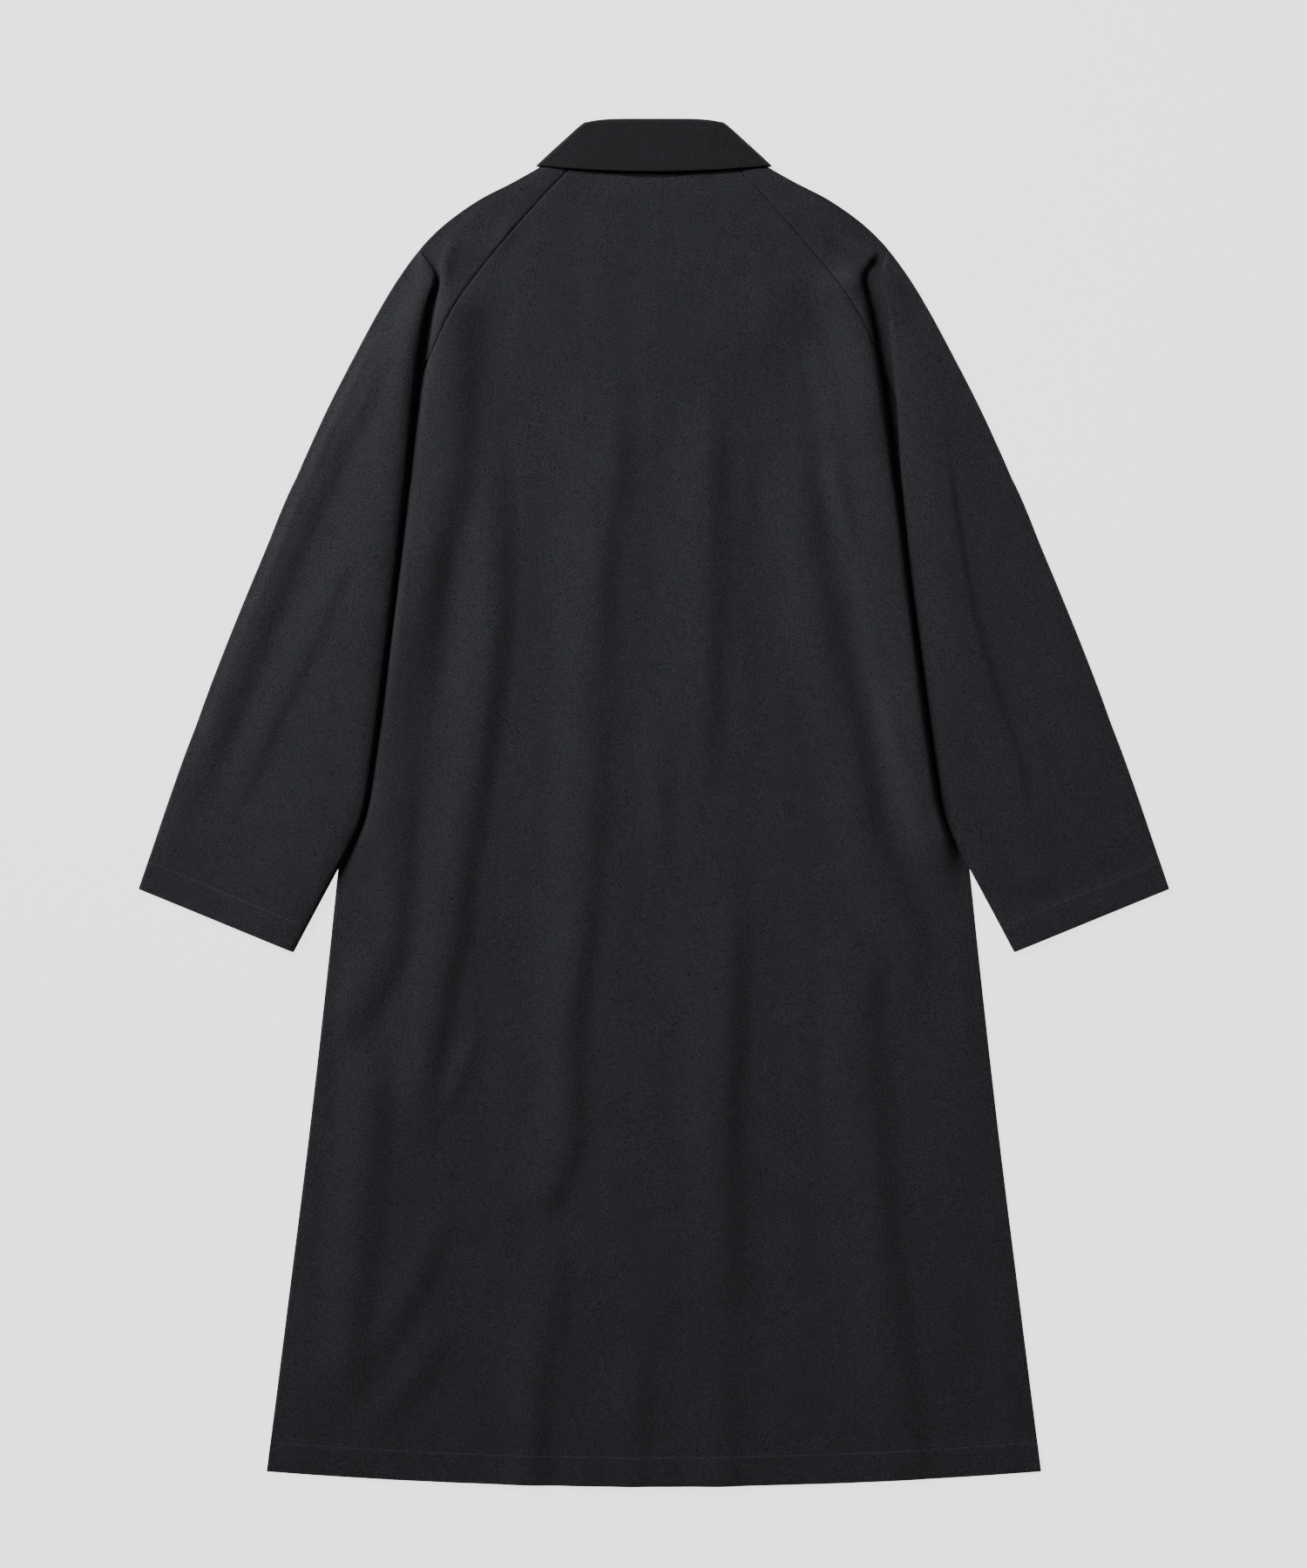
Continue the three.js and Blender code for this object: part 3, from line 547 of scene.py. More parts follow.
def spaced(path, pitch):
    """The same path bent softly, with even points about a pitch apart."""
    places = along_path(path)
    wanted = np.linspace(0, places[-1], max(2, int(places[-1] / pitch)))
    x = smooth_curve(places, [spot[0] for spot in path], wanted)
    up = smooth_curve(places, [spot[1] for spot in path], wanted)
    return list(zip(x, up))


def fold_height(folds, x, up):
    """Height of all the folds of a table together."""
    height = np.zeros(x.shape)
    for _, rise, left, right, fade_in, fade_out, path in folds:
        signed, along, length = distance_along(spaced(path, FOLD_STEP), x, up)
        width = np.where(signed < 0, left, right)
        across = np.cos(np.clip(np.abs(signed) / width, 0, 1) * math.pi / 2) ** 2
        ends = smooth_step(along / fade_in) * smooth_step((length - along) / fade_out)
        height += rise * across * ends
    return height


def slack(x, up, seed, across, along, height):
    """Gentle seeded unevenness of the cloth, in soft spots of about that width and length."""
    heights = np.random.default_rng(seed).uniform(-1, 1, SPOTS)
    wide, long = SPOTS
    column = x / across + SPOTS_LEFT_OF_CENTRE
    row = up / along + SPOTS_BELOW_HEM
    i = np.floor(column).astype(int)
    j = np.floor(row).astype(int)
    t = smooth_step(column - i)
    u = smooth_step(row - j)
    left = i % wide
    right = (i + 1) % wide
    below = j % long
    above = (j + 1) % long
    near = heights[left, below] * (1 - t) + heights[right, below] * t
    far = heights[left, above] * (1 - t) + heights[right, above] * t
    return height * (near * (1 - u) + far * u)


def back_neck(x):
    """Height of the back's neck edge."""
    return BACK_NECK_UP + NECK_SIDE_RISE * (x / NECK_SIDE_OUT) ** 2


def upper_level(x, up):
    """Level of the back without its folds: over the lapped fronts and up to the collar."""
    near_collar = plateau(np.hypot(x, up - COLLAR_CENTRE_UP), UPPER_RISE)
    overlap = plateau(np.abs(x), BACK_STEP)
    return SECOND_LEVEL + 2 * LAYER * near_collar + LAYER * overlap * (1 - near_collar)


def sleeve_fold_out(up):
    """How far out the folded edge of the sleeve lies at this height, or past the side."""
    ups = [spot[1] for spot in reversed(SLEEVE_FOLD)]
    outs = [spot[0] for spot in reversed(SLEEVE_FOLD)]
    out = smooth_curve(ups, outs, up)
    return out + FOLD_LEAVES * (np.maximum(ups[0] - up, 0) + np.maximum(up - ups[-1], 0))


def body_relief(x, up):
    """Folds of the back and of the strip of sleeve beside it, which stay clear of the
    sleeve's folded edge and lie calm along the side seams."""
    side = read_table(SIDE_SEAM, up)
    sewn = smooth_step((side - SEWN_FLAT - np.abs(x)) / SEWN_CALM)
    sewn = np.where(up > ARMPIT_UP, 1, sewn)
    sewn = sewn * smooth_step((back_neck(x) - NECK_FLAT - up) / NECK_CALM)
    from_fold = sleeve_fold_out(up) - np.abs(x)
    bulge = np.where(x < 0, read_table(LEFT_BULGE, up), read_table(RIGHT_BULGE, up))
    cleft = np.where(x < 0, read_table(LEFT_CLEFT, up), read_table(RIGHT_CLEFT, up))
    fold = np.sqrt(1 - (1 - np.clip((from_fold - cleft) / bulge, 0, 1)) ** 2)
    high = fold_height(FOLDS, x, up) + PUFF * smooth_step((up - PUFF_FADE[0]) / PUFF_FADE[1])
    high += slack(x, up, *BODY_BROAD) + slack(x, up, *BODY_LONG)
    high += slack(x, up, *BODY_FINE)
    high += plateau(up, PUCKER_REACH) * slack(x + PUCKER_SLANT * up, up, *HEM_PUCKERS)
    top, full, lower, end = LIP_ENDS
    beside = smooth_step((top - up) / (top - full)) * smooth_step((up - end) / (lower - end))
    left = LEFT_LIP[0] * (1 - smooth_step((from_fold - LEFT_LIP[1]) / LEFT_LIP[2]))
    right = RIGHT_LIP[0] * (1 - smooth_step((from_fold - RIGHT_LIP[1]) / RIGHT_LIP[2]))
    lip = beside * np.where(x < 0, left, right)
    return np.maximum(high + lip, 0) * sewn * fold


def seam_edge(distance, drop=EDGE_DROP):
    """How far the cloth rolls down at a sewn edge."""
    return -drop[0] * np.exp(-((distance / drop[1]) ** 2))


def stitched_groove(distance):
    """How deep a row of stitches pulls the cloth down."""
    return -GROOVE[0] * np.exp(-((distance / GROOVE[1]) ** 2))


def back_row(up, out):
    """One row of the back between its edges at this height: x, up and level."""
    top_up = RAGLAN[0][1]
    middle_up = (up - HEM_CORNER_UP) / (top_up - HEM_CORNER_UP) * BACK_NECK_UP
    flat = out - SEAM_SPACE
    dense = flat - np.array(EDGE_COLUMNS)
    cleft = min(float(sleeve_fold_out(up)), flat - LEAST_BESIDE) + np.array(CLEFT_COLUMNS)
    beside = np.linspace(cleft[-1], dense[0], BESIDE_COLUMNS)
    half = np.concatenate([cleft, beside[1:-1], dense])
    wide = np.linspace(-cleft[0], cleft[0], BACK_COLUMNS)
    x = np.concatenate([-half[:0:-1], wide, half[1:]])
    height = middle_up + (up - middle_up) * (x / out) ** 2
    height = np.minimum(height, back_neck(x) - NECK_SPACE)
    above_hem = up - HEM_CORNER_UP
    lift = HEM_LIFT * plateau(above_hem, (STITCH_UP, STITCH_UP + HEM_LIFT_FADE))
    level = upper_level(x, height) + body_relief(x, height) + lift
    drop = RAGLAN_DROP if up > ARMPIT_UP else EDGE_DROP
    drop_fade = smooth_step((above_hem - EDGE_DROP_FADE[0]) / EDGE_DROP_FADE[1])
    level += seam_edge(flat - np.abs(x), drop) * drop_fade
    level += stitched_groove(above_hem - STITCH_UP)
    return x, height, level


def back_edges():
    """Height and reach of the rows of the back, from the neck to the hem."""
    edges = [(up, out) for out, up in spaced(RAGLAN, BACK_PITCH)]
    hem_top_up = HEM_CORNER_UP + HEM_REACH
    below = np.linspace(ARMPIT_UP, hem_top_up, int((ARMPIT_UP - hem_top_up) / BACK_PITCH))
    band = HEM_CORNER_UP + np.array((HEM_BAND_ROWS + HEM_ROWS)[::-1])
    edges += [(up, read_table(SIDE_SEAM, up)) for up in np.concatenate([below[1:], band])]
    return edges


def thread_material():
    """Black cotton thread, a little greyer than the cloth, with its plies twisted."""
    material = bpy.data.materials.new("black thread")
    material.use_nodes = True
    tree = material.node_tree
    surface = tree.nodes["Principled BSDF"]
    surface.inputs["Roughness"].default_value = 0.7
    surface.inputs["Specular IOR Level"].default_value = 0.3
    place = tree.nodes.new("ShaderNodeTexCoord")
    plies = tree.nodes.new("ShaderNodeTexWave")
    plies.wave_type = "BANDS"
    plies.bands_direction = "DIAGONAL"
    plies.inputs["Scale"].default_value = 900
    tones = tree.nodes.new("ShaderNodeMix")
    tones.data_type = "RGBA"
    tones.inputs["A"].default_value = (0.042, 0.044, 0.05, 1)
    tones.inputs["B"].default_value = (0.078, 0.08, 0.09, 1)
    link(tree, place, "Object", plies, "Vector")
    link(tree, plies, "Fac", tones, "Factor")
    link(tree, tones, "Result", surface, "Base Color")
    return material


THREAD = thread_material()


def stitch_row(name, line):
    """Short arched threads that lie on the cloth along a line of points in its middle."""
    line = line + np.array([0, 0, CLOTH * MM / 2])
    steps = np.linalg.norm(np.diff(line, axis=0), axis=1)
    places = np.concatenate([[0], np.cumsum(steps)])
    first, last = STITCH_MARGINS
    starts = np.arange(first * MM, places[-1] - last * MM, STITCH_PITCH * MM)
    arch = THREAD_ARCH * THREAD_RADIUS * MM
    thick = THREAD_THICK * THREAD_RADIUS * MM
    wanted = starts[:, None] + THREAD_ALONG * STITCH_LENGTH * MM
    spot = np.stack([np.interp(wanted, places, line[:, k]) for k in range(3)], axis=-1)
    rise = np.broadcast_to(np.array([0.0, 0.0, 1.0]), spot.shape)
    run = (spot[:, -1] - spot[:, 0])[:, None]
    run /= np.linalg.norm(run, axis=-1, keepdims=True)
    beside = np.cross(np.broadcast_to(run, rise.shape), rise)
    centre = spot + rise * arch[:, None]
    points = []
    for k in range(THREAD_SIDES):
        angle = math.tau * k / THREAD_SIDES
        points.append(centre + thick[:, None] * (beside * math.cos(angle) + rise * math.sin(angle)))
    points = np.stack(points, axis=2)
    count, rings = points.shape[:2]
    index = np.arange(count * rings * THREAD_SIDES).reshape(count, rings, THREAD_SIDES)
    after = np.roll(index, -1, axis=2)
    quads = np.stack([index[:, :-1], after[:, :-1], after[:, 1:], index[:, 1:]], axis=-1)
    faces = quads.reshape(-1, 4).tolist()
    faces += index[:, 0, ::-1].tolist()
    faces += index[:, -1].tolist()
    mesh = bpy.data.meshes.new(name)
    mesh.from_pydata(points.reshape(-1, 3).tolist(), [], faces)
    mesh.polygons.foreach_set("use_smooth", np.ones(len(mesh.polygons), bool))
    mesh.materials.append(THREAD)
    piece = placed(name, mesh)
    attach(piece, "root")
    return piece


BACK_CLOTH = cloth_material("back cloth", COTTON_DARK, COTTON_LIGHT)
middle = np.stack([in_frame(*back_row(up, out)) for up, out in back_edges()])
middle = turned_in(middle, len(HEM_BAND_ROWS) + 2, 1)
back = cloth_wall("back_cloth", middle)
back.data.materials.append(BACK_CLOTH)
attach(back, "root")
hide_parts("back")
hem_up = HEM_CORNER_UP + STITCH_UP
line = in_frame(*back_row(hem_up, float(read_table(SIDE_SEAM, hem_up))))
hem_stitches = stitch_row("hem_stitches", line[2:-2])

# The front halves of the sleeves
# Each raglan sleeve is cut in two halves, joined over the arm and under it. This half lies
# flat on the floor under the other one, with its cuff turned in.
SLEEVE_FRONT_COLUMNS = 40
SLEEVE_FRONT_PITCH = 7
UNDERARM_ROWS = 56
FRONT_CUFF_ROWS = 6
OVER_ARM_TOP_UP = 1219

# the inner edge below the armpit, which is the underarm seam: height and reach
UNDERARM_FRONT = [
    (917, 256), (893, 259.5), (869, 262.5), (773, 273.5), (677, 285.5), (626, 293.5), (575, 318),
    (501.5, 357),
]
# the over-arm seam, which is the outline of the sleeve, from the neck to the cuff: out and up
OVER_ARM = [
    (87, 1220.2), (101.5, 1212.6), (112, 1206.5), (130, 1196.5), (160, 1181), (194, 1157),
    (214, 1137), (234.8, 1109), (249.5, 1085), (275.5, 1037), (300, 989), (322, 941), (329, 925),
    (333, 917), (343.5, 893), (353, 869), (373, 821), (392.5, 773), (411, 725), (428.5, 677),
    (446, 629), (454.5, 604), (460.5, 586), (467.5, 566), (473, 549),
]


def sleeve_front(node, side):
    """The under half of a sleeve, from the neck to the turned-in cuff."""
    over = [(up, out) for out, up in reversed(OVER_ARM)]
    under = UNDERARM_FRONT[::-1]
    cuff_up = under[0][0]
    outer_cuff_up = over[0][0]
    raglan_ups = np.arange(FRONT_LAST_ROW_UP, ARMPIT_UP, -SLEEVE_FRONT_PITCH)
    underarm_ups = np.linspace(ARMPIT_UP - FRONT_HEM_UP, cuff_up, UNDERARM_ROWS)
    ends = [(up, read_table(FRONT_RAGLAN, up) + SEAM_SPACE) for up in raglan_ups]
    ends += [(up, read_table(under, up)) for up in underarm_ups]
    middle = []
    for up, out in ends:
        if up > ARMPIT_UP:
            share = (up - ARMPIT_UP) / (FRONT_LAST_ROW_UP - ARMPIT_UP)
            outer_up = ARMPIT_UP + (OVER_ARM_TOP_UP - ARMPIT_UP) * share
        else:
            share = (up - cuff_up) / (ARMPIT_UP - cuff_up)
            outer_up = outer_cuff_up + (ARMPIT_UP - outer_cuff_up) * share
        outer_out = read_table(over, outer_up) - FRONT_INSET
        across = np.linspace(0, 1, SLEEVE_FRONT_COLUMNS)
        x = outer_out + (out - outer_out) * across
        height = np.minimum(outer_up + (up - outer_up) * across, front_neck(x) - NECK_SPACE)
        middle.append(in_frame(side * x, height, lower_level(x, height)))
    middle = turned_in(np.stack(middle), FRONT_CUFF_ROWS, side)
    piece = cloth_wall(f"{node}_cloth", middle)
    piece.data.materials.append(FRONT_CLOTH)
    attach(piece, "root")
    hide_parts(node)


sleeve_front("sleeve_left_front", -1)
sleeve_front("sleeve_right_front", 1)

# The back halves of the sleeves
# The sleeve hangs down over the body, so its cloth folds back under itself beside the body
# and runs on flat to the raglan seam. The folded edge stands up as a soft roll over a deep
# dark cleft. The cuff is turned in and stitched through.
SLEEVE_PITCH = 4
SLEEVE_TOP_COLUMNS = 40
ROLL_COLUMNS = 14
RETURN_COLUMNS = 7
DROP_COLUMNS = 4
TURN_COLUMNS = 6
STRIP_COLUMNS = 26
ROLL_SHARE = 0.6
TURN_SHARE = 0.3
DROP_RANGE = (0.25, 0.95)
BODY_EDGE_MARGIN = 1.5
FOLD_OPENS = 12
TOP_RISE = (1.15, 0.1)
OVER_ARM_CALM = 14
FOLD_CALM = (0.7, 10)
CUFF_CALM = (8, 50)
CUFF_LEAST = 0.2
SLEEVE_PUFF = 1.2
SLEEVE_BROAD = (11, 55, 120, 0.8)
SLEEVE_LONG = (12, 15, 90, 0.3)
SLEEVE_LONG_SLANT = 2.2
SLEEVE_FINE = (13, 9, 24, 0.07)

# Sections across the sleeve from the neck to the cuff. Over-arm seam: out, up. Folded edge:
# out, up. Pleat: how far the cloth turns back under the fold. Roll: how far the fold stands
# above it. Raglan seam: out, up. Then the level of the turned-back cloth at the fold and at
# its far edge, which count only below the armpit.
SECTIONS = [
    (87, 1220.2, 87, 1220.2, 0, 0, 74, 1214.9, 4.8, 4.8),
    (101.5, 1212.6, 101.5, 1212.6, 0, 0, 82, 1205, 4.8, 4.8),
    (112, 1206.5, 112, 1206.5, 0, 0, 92, 1195, 4.8, 4.8),
    (130, 1196.5, 130, 1196.5, 0, 0, 104, 1182, 4.8, 4.8),
    (160, 1181, 160, 1181, 0, 0, 119, 1165.5, 4.8, 4.8),
    (194, 1157, 194, 1157, 0, 0, 141, 1140, 4.8, 4.8),
    (214, 1137, 214, 1137, 0, 0, 158, 1119.5, 4.8, 4.8),
    (234.8, 1109, 201, 1109, 2, 5, 173, 1099.5, 4.8, 4.8),
    (249.5, 1085, 207.5, 1085, 6, 7.6, 185, 1081, 4.8, 4.8),
    (275.5, 1037, 215.5, 1037, 13, 8.4, 206, 1037, 4.8, 4.8),
    (300, 989, 221, 989, 18, 8.4, 226, 989, 4.8, 4.8),
    (322, 941, 225.5, 941, 24.5, 8.4, 245.5, 941, 4.8, 4.8),
    (329, 925, 227, 925, 26.5, 8.4, 252.5, 925, 4.8, 4.8),
    (333, 917, 228, 917, 28, 8.4, 256, 917, 4.8, 4.8),
    (343.5, 893, 230.5, 893, 33, 8.4, 256, 917, 4.8, 3.6),
    (353, 869, 233, 869, 36, 8.4, 256, 917, 4.8, 2.8),
    (373, 821, 238.5, 821, 36, 8.4, 256, 917, 4.8, 2.8),
    (392.5, 773, 244.5, 773, 36, 8.4, 256, 917, 4.8, 2.8),
    (411, 725, 250.5, 725, 36, 8.4, 256, 917, 4.8, 2.8),
    (420, 700, 257, 677, 36, 8.4, 256, 917, 4.8, 2.8),
    (432, 668.5, 266, 620, 36, 8.4, 256, 917, 4.8, 2.8),
    (440, 646, 277, 592, 35, 7.4, 256, 917, 4.8, 2.8),
    (447.3, 625, 293, 562, 35, 6.4, 256, 917, 4.8, 2.8),
    (460.5, 586, 313, 525, 35, 5.4, 256, 917, 2.8, 2.8),
    (473, 549, 331, 491, 35, 4.8, 256, 917, 2.8, 2.8),
]
LAST_STRIP_SECTION = 12
ARMPIT_SECTION = 13
SHOULDER_SECTION = 6

SLEEVE_FOLDS = [
    ("left, outer", 3.2, 40, 20, 110, 90, [
        (-244, 1085), (-264, 1010), (-294, 952), (-314, 906), (-350, 824), (-378, 750),
        (-410, 670), (-428, 622)]),
    ("left, second", 2.2, 28, 15, 60, 60, [
        (-276, 876), (-300, 812), (-333, 740), (-361, 680), (-392, 606)]),
    ("left, along the fold", 3.0, 70, 16, 60, 170, [
        (-214, 1100), (-228, 1010), (-236, 917), (-246, 821), (-258, 725), (-272, 660)]),
    ("right, along the fold", 2.4, 30, 70, 60, 170, [
        (240, 1085), (250, 1010), (257, 917), (268, 821), (282, 725), (300, 640)]),
    ("right, long crease", 2.6, 40, 9, 120, 70, [
        (261, 1010), (267, 940), (275, 880), (289, 808), (303, 756), (317, 708), (332, 666),
        (346, 604)]),
    ("right, broad", 2.2, 44, 30, 100, 100, [(300, 940), (334, 850), (376, 745), (424, 636)]),
    ("right, above the cuff", 1.4, 20, 16, 30, 30, [(368, 574), (330, 538)]),
    ("right, shoulder rim", 3.2, 6, 8, 14, 26, [
        (196, 1150), (212, 1130), (223, 1112), (232, 1090)]),
]
# How the sleeve rounds down to its folded edge, on the left and on the right: how much of
# the roll is kept, how much of that is rounded off, and over what reach. The right sleeve
# lies lower, half hidden by the bulge of the body.
ROLL_WIDE = 1.2
LEFT_ROLL = 0.92
LEFT_ROUND_SHARE = 0.52
LEFT_ROUND = 14
RIGHT_ROLL = 0.32
RIGHT_ROUND_SHARE = 0.6
RIGHT_ROUND = 16
# how much further out the right fold lies, by height
RIGHT_FOLD_OUT = [
    (880, 0), (941, 1.2), (989, 2.6), (1037, 4.2), (1061, 5.5), (1085, 7.5), (1109, 7.5),
    (1125, 3), (1137, 0),
]
ROUND_COLUMNS = [16, 13, 10.5, 8.2, 6.2, 4.5, 3.1, 1.9, 1, 0.4, 0]


# where each section lies along the over-arm seam, from the neck
STATIONS = along_path(SECTIONS)


def section_sizes(place):
    """All sizes of the section at one place, and how far it still lies over the body."""
    sizes = [smooth_curve(STATIONS, column, place) for column in zip(*SECTIONS)]
    shoulder = STATIONS[SHOULDER_SECTION]
    armpit = STATIONS[ARMPIT_SECTION]
    if place <= shoulder:
        sizes[2] = sizes[0]
        sizes[3] = sizes[1]
        sizes[4] = 0
        sizes[5] = 0
    over_body = np.clip((armpit - place) / (armpit - STATIONS[LAST_STRIP_SECTION]), 0, 1)
    return [float(size) for size in sizes], float(over_body)


def sleeve_relief(x, up):
    """Folds and unevenness of the sleeve."""
    high = SLEEVE_PUFF + fold_height(SLEEVE_FOLDS, x, up)
    slanted = x + up / SLEEVE_LONG_SLANT
    high += slack(x, up, *SLEEVE_BROAD) + slack(slanted, up, *SLEEVE_LONG)
    return np.maximum(high + slack(x, up, *SLEEVE_FINE), 0)


def sleeve_section(place, side):
    """Points of one section: x, up and level, from the over-arm seam round to the raglan seam."""
    sizes, over_body = section_sizes(place)
    outer_out, outer_up, fold_out, fold_up, pleat, roll, seam_out, seam_up, at_fold, at_end = sizes
    if side < 0:
        kept, round_share, round_reach = LEFT_ROLL, LEFT_ROUND_SHARE, LEFT_ROUND
    else:
        kept, round_share, round_reach = RIGHT_ROLL, RIGHT_ROUND_SHARE, RIGHT_ROUND
        further = float(read_table(RIGHT_FOLD_OUT, fold_up))
        fold_out += further
        pleat += further
    roll *= kept
    folded = min(1, max(0, (place - STATIONS[SHOULDER_SECTION]) / FOLD_OPENS))
    from_cuff = STATIONS[-1] - place
    lift = HEM_LIFT * plateau(from_cuff, (STITCH_UP, STITCH_UP + HEM_LIFT_FADE))
    low = float(upper_level(np.array(fold_out), np.array(fold_up)))
    returned = low + (LAYER * over_body + (at_fold - low) * (1 - over_body)) * folded
    top = returned + roll * folded + lift
    edge = float(upper_level(np.array(outer_out), np.array(outer_up))) + lift
    span = math.hypot(fold_out - outer_out, fold_up - outer_up)
    inward = np.array([fold_out - outer_out, fold_up - outer_up]) / max(span, 1e-9)
    if span < 0.5:
        inward = np.array([-1.0, 0.0])
    rounded = round_share * roll * folded
    roll_deep = (top - rounded - returned) / 2
    roll_wide = min(roll_deep, ROLL_SHARE * pleat, ROLL_WIDE)
    turn_deep = over_body * (returned - low) / 2
    turn_wide = min(turn_deep, TURN_SHARE * pleat)
    spots = []

    reach = max(span - roll_wide, 0)
    rim = EDGE_COLUMNS[0]
    across = np.linspace(rim, max(reach - ROUND_COLUMNS[0], rim), SLEEVE_TOP_COLUMNS)
    near_fold = reach - np.array(ROUND_COLUMNS)
    from_edge = np.concatenate([EDGE_COLUMNS[:0:-1], across[:-1], near_fold])
    from_edge = np.sort(np.clip(from_edge, 0, reach))
    share = from_edge / max(reach, 1e-6) if reach > 0 else np.ones(len(from_edge))
    x = outer_out + inward[0] * from_edge
    up = outer_up + inward[1] * from_edge
    rise = smooth_step((share ** TOP_RISE[0] - TOP_RISE[1]) / (1 - TOP_RISE[1]))
    relief = sleeve_relief(side * x, up) * smooth_step(from_edge / OVER_ARM_CALM)
    relief = relief * (1 - FOLD_CALM[0] * share ** FOLD_CALM[1])
    above_cuff = smooth_step((from_cuff - CUFF_CALM[0]) / CUFF_CALM[1])
    relief *= above_cuff * (1 - CUFF_LEAST) + CUFF_LEAST
    level = edge + (top - edge) * rise + relief + seam_edge(from_edge)
    inside = np.clip((reach - from_edge) / min(round_reach, max(reach, 1)), 0, 1)
    level -= rounded * (1 - np.sqrt(1 - (1 - inside) ** 2))
    level += stitched_groove(from_cuff - STITCH_UP)
    spots.append(np.stack([x, up, level]))
    top_end = level[-1]

    def under(behind, level):
        behind, level = np.broadcast_arrays(behind, level)
        spots.append(np.stack([fold_out - inward[0] * behind, fold_up - inward[1] * behind, level]))

    angle = np.pi * np.arange(1, ROLL_COLUMNS + 1) / ROLL_COLUMNS
    deep = (top_end - returned) / 2
    under(roll_wide * (1 - np.sin(angle)), returned + deep * (1 + np.cos(angle)))
    end = pleat - turn_wide
    end_level = returned * over_body + at_end * (1 - over_body)
    body_edge = float(read_table(SIDE_SEAM, fold_up)) + BODY_EDGE_MARGIN - fold_out
    nearest = roll_wide + DROP_RANGE[0] * (end - roll_wide)
    furthest = roll_wide + DROP_RANGE[1] * (end - roll_wide)
    drop = max(nearest, min(furthest, body_edge))
    share = np.arange(1, RETURN_COLUMNS + 1) / RETURN_COLUMNS
    under(roll_wide + (drop - roll_wide) * share, returned)
    share = np.arange(1, DROP_COLUMNS + 1) / DROP_COLUMNS
    under(drop + (end - drop) * share, returned + (end_level - returned) * smooth_step(share))
    angle = np.pi * np.arange(1, TURN_COLUMNS + 1) / TURN_COLUMNS
    level = low + turn_deep * (1 + np.cos(angle))
    level = level * over_body + end_level * (1 - over_body)
    under(end + turn_wide * np.sin(angle), level)

    turned = spots[-1][:, -1]
    length = math.hypot(seam_out + SEAM_SPACE - turned[0], seam_up - turned[1])
    if over_body > 0:
        from_start = np.linspace(0, max(length - rim, 0.5 * length), STRIP_COLUMNS + 1)[1:]
        near_seam = [length - min(d, 0.4 * length * d / rim) for d in EDGE_COLUMNS[1:]]
        from_start = np.sort(np.concatenate([from_start, near_seam]))
        share = from_start / max(length, 1e-6)
        x = turned[0] + (seam_out + SEAM_SPACE - turned[0]) * share
        up = turned[1] + (seam_up - turned[1]) * share
        flat = upper_level(x, up) + body_relief(side * x, up) + seam_edge(length - from_start)
        start = turned[2] + (flat - turned[2]) * smooth_step(from_start / max(0.3 * length, 6))
        spots.append(np.stack([x, up, start]))
    else:
        spots.append(np.repeat(turned[:, None], STRIP_COLUMNS + 4, axis=1))
    x, up, level = np.concatenate(spots, axis=1)
    return side * x, up, level


def sleeve_back(node, side):
    """The upper half of a sleeve with its fold over the body."""
    cuff_top = STATIONS[-1] - HEM_REACH
    long = np.linspace(0, cuff_top, int(cuff_top / SLEEVE_PITCH))
    ends = STATIONS[-1] - np.array((HEM_BAND_ROWS + HEM_ROWS)[::-1])
    places = np.concatenate([long, ends])
    middle = np.stack([in_frame(*sleeve_section(place, side)) for place in places])
    middle = turned_in(middle, len(HEM_BAND_ROWS) + 1, -side)
    piece = cloth_wall(f"{node}_cloth", middle, merge=True)
    piece.data.materials.append(SLEEVE_CLOTH)
    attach(piece, "root")
    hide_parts(node)
    line = in_frame(*sleeve_section(STATIONS[-1] - STITCH_UP, side))
    stitches = stitch_row(f"{node}_stitches", line[3:SLEEVE_TOP_COLUMNS + 12])


SLEEVE_CLOTH = cloth_material("sleeve cloth", COTTON_DARK, COTTON_LIGHT)
sleeve_back("sleeve_left_back", -1)
sleeve_back("sleeve_right_back", 1)

# The collar
# A fall of two layers of cloth is folded down over a stand, which is sewn to the neck. Both
# are pressed flat into a loop, and the fall stands a little off the back along its edge.
COLLAR_CLOTH = 1.5
LOOP_LEVEL = 4.8
STAND_SEAM_ROW = 6
FALL_ROWS = 44
STAND_ROWS = 16
COLLAR_BACK_COLUMNS = 40
COLLAR_SIDE_COLUMNS = 9
COLLAR_FRONT_COLUMNS = 26
# The collar is the same cotton as the rest of the coat, but its colours are painted darker: painted
# shade for the light falling off towards the neck.
COLLAR_SHADED_DARK = (0.003, 0.0032, 0.0038)
COLLAR_SHADED_LIGHT = (0.0198, 0.0208, 0.0241)

# Radius of the loop at its sides. Height at the centre of the back. Out and up at the side.
# Out and up at the front end. Bend of the line at the back and at the front. How far the
# cloth stands off.
COLLAR_ROWS = [
    (4, 1207.2, 107.5, 1212.5, 66, 1122, 2, 1, 2.4),
    (4, 1220, 98, 1221.5, 46, 1142, 2, 1.1, 1.8),
    (4, 1238, 81, 1237, 24, 1166, 3, 1.2, 1),
    (4, 1252, 67, 1249.5, 6, 1185, 5, 1.3, 0.2),
    (3, 1255, 63.5, 1252, 4, 1187.5, 5, 1.3, 0),
    (2, 1252.4, 64, 1249, 4, 1185.5, 5, 1.3, 0),
    (2, 1243, 70, 1241, 4, 1181, 4, 1.5, 0),
    (2, 1223, 79, 1231, 4, 1173, 2, 1.8, 0),
    (2, 1202, 88, 1221, 4, 1165, 2, 2, 0),
]


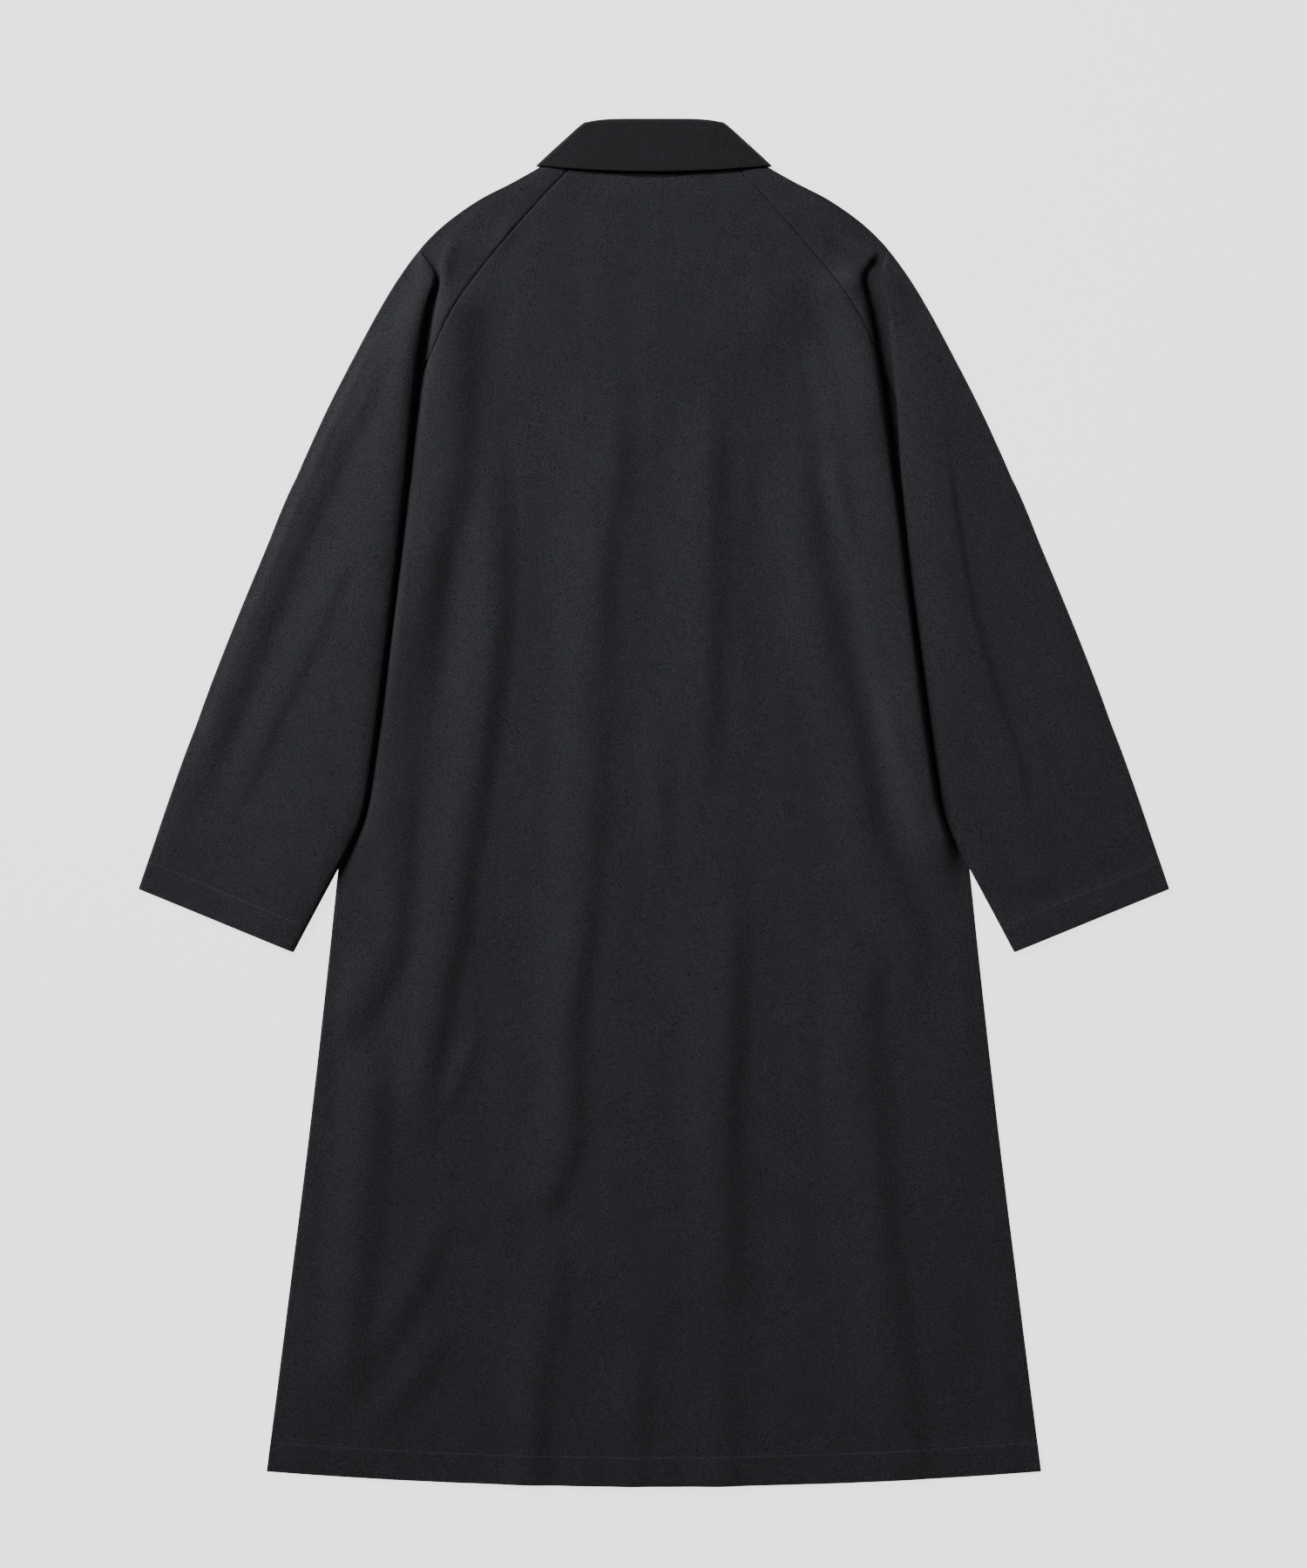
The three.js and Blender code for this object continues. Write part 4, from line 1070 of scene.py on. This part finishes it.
def collar_line(row):
    """One line of the collar, from its left front end round the back to the right one."""
    sizes = [smooth_curve(range(len(COLLAR_ROWS)), column, row) for column in zip(*COLLAR_ROWS)]
    radius, back_up, side_out, side_up, end_out, end_up, bend, front_bend, proud = map(float, sizes)
    straight = side_out - radius
    share = np.arange(COLLAR_BACK_COLUMNS) / COLLAR_BACK_COLUMNS
    up = back_up + (side_up - back_up) * share ** bend
    level = LOOP_LEVEL + radius + proud * (1 - share ** 4)
    half = [np.stack([straight * share, up, level])]
    angle = np.pi * np.arange(COLLAR_SIDE_COLUMNS) / COLLAR_SIDE_COLUMNS
    sides = [straight + radius * np.sin(angle), side_up, LOOP_LEVEL + radius * np.cos(angle)]
    half.append(np.stack(np.broadcast_arrays(*sides)))
    share = np.arange(COLLAR_FRONT_COLUMNS + 1) / COLLAR_FRONT_COLUMNS
    up = end_up + (side_up - end_up) * (1 - share) ** front_bend
    fronts = [straight + (end_out - straight) * share, up, LOOP_LEVEL - radius]
    half.append(np.stack(np.broadcast_arrays(*fronts)))
    right = np.concatenate(half, axis=1)
    left = right[:, :0:-1] * np.array([[-1], [1], [1]])
    return in_frame(*np.concatenate([left, right], axis=1))


def collar_piece(node, first, last, rows, lower_by):
    """The fall or the stand, between two rows of the collar's table."""
    places = np.linspace(first, last, rows)
    middle = np.stack([collar_line(place) for place in places])
    middle[0, :, 1] -= lower_by * MM
    piece = cloth_wall(f"{node}_cloth", middle, COLLAR_CLOTH)
    piece.data.materials.append(COLLAR_SHADED_CLOTH)
    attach(piece, "root")
    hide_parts(node)
    return piece


# The collar's material is the cotton coloured darker, as painted shade.
COLLAR_SHADED_CLOTH = cloth_material("collar cloth with painted shade", COLLAR_SHADED_DARK, COLLAR_SHADED_LIGHT)
fall = collar_piece("collar_fall", 0, STAND_SEAM_ROW, FALL_ROWS, 0)
stand = collar_piece("collar_stand", STAND_SEAM_ROW, len(COLLAR_ROWS) - 1, STAND_ROWS, SEAM_SPACE)

# The floor, the light and the camera
# The coat lies on a plain sheet of pale paper that glows a little, a hair below the cloth.
# A large soft light stands at its upper left, with a weak one overhead, and the camera
# looks straight down at it.
PAPER_GLOW = 2.2
PAPER_REACH = 14
PAPER_DOWN = -0.0002
floor_mesh = bpy.data.meshes.new("floor")
sides = ((-1, -1), (1, -1), (1, 1), (-1, 1))
corners = [(PAPER_REACH * a, PAPER_REACH * b, PAPER_DOWN) for a, b in sides]
floor_mesh.from_pydata(corners, [], [(0, 1, 2, 3)])
floor = placed("floor", floor_mesh)
paper = bpy.data.materials.new("pale backing paper")
paper.use_nodes = True
nodes = paper.node_tree.nodes
surface = nodes["Principled BSDF"]
surface.inputs["Roughness"].default_value = 0.9
surface.inputs["Emission Color"].default_value = (1, 1, 1, 1)
surface.inputs["Emission Strength"].default_value = PAPER_GLOW
place = nodes.new("ShaderNodeTexCoord")
tooth = nodes.new("ShaderNodeTexNoise")
tooth.inputs["Scale"].default_value = 900
tooth.inputs["Detail"].default_value = 3
tones = nodes.new("ShaderNodeMix")
tones.data_type = "RGBA"
tones.inputs["A"].default_value = (0.29, 0.29, 0.29, 1)
tones.inputs["B"].default_value = (0.31, 0.31, 0.31, 1)
link(paper.node_tree, place, "Object", tooth, "Vector")
link(paper.node_tree, tooth, "Fac", tones, "Factor")
link(paper.node_tree, tones, "Result", surface, "Base Color")
floor_mesh.materials.append(paper)


def soft_light(name, place, target, power, size):
    """A square soft light at a place, turned to its target."""
    lamp = bpy.data.lights.new(name, "AREA")
    lamp.energy = power
    lamp.size = size
    light = placed(name, lamp)
    light.location = place
    aim = np.array(target) - np.array(place)
    tilt = math.atan2(math.hypot(aim[0], aim[1]), -aim[2])
    light.rotation_euler = (tilt, 0, math.atan2(aim[1], aim[0]) - math.pi / 2)
    return lamp


key = soft_light("key light", place=(-3.3, 2.9, 2.8), target=(-0.1, 0.5, 0), power=50, size=2.2)
key.spread = math.radians(50)
soft_light("overhead light", place=(1.2, 0.2, 4.4), target=(0, 0, 0), power=10, size=2.4)
world = bpy.data.worlds.new("studio air")
world.use_nodes = True
world.node_tree.nodes["Background"].inputs["Color"].default_value = (1, 1, 1, 1)
world.node_tree.nodes["Background"].inputs["Strength"].default_value = 0.035
bpy.context.scene.world = world

camera_lens = bpy.data.cameras.new("camera")
camera_lens.lens = 100
camera_lens.sensor_width = 36
camera = placed("camera", camera_lens)
camera.location = (-0.0004, 0.0169, 4.006)
bpy.context.scene.camera = camera
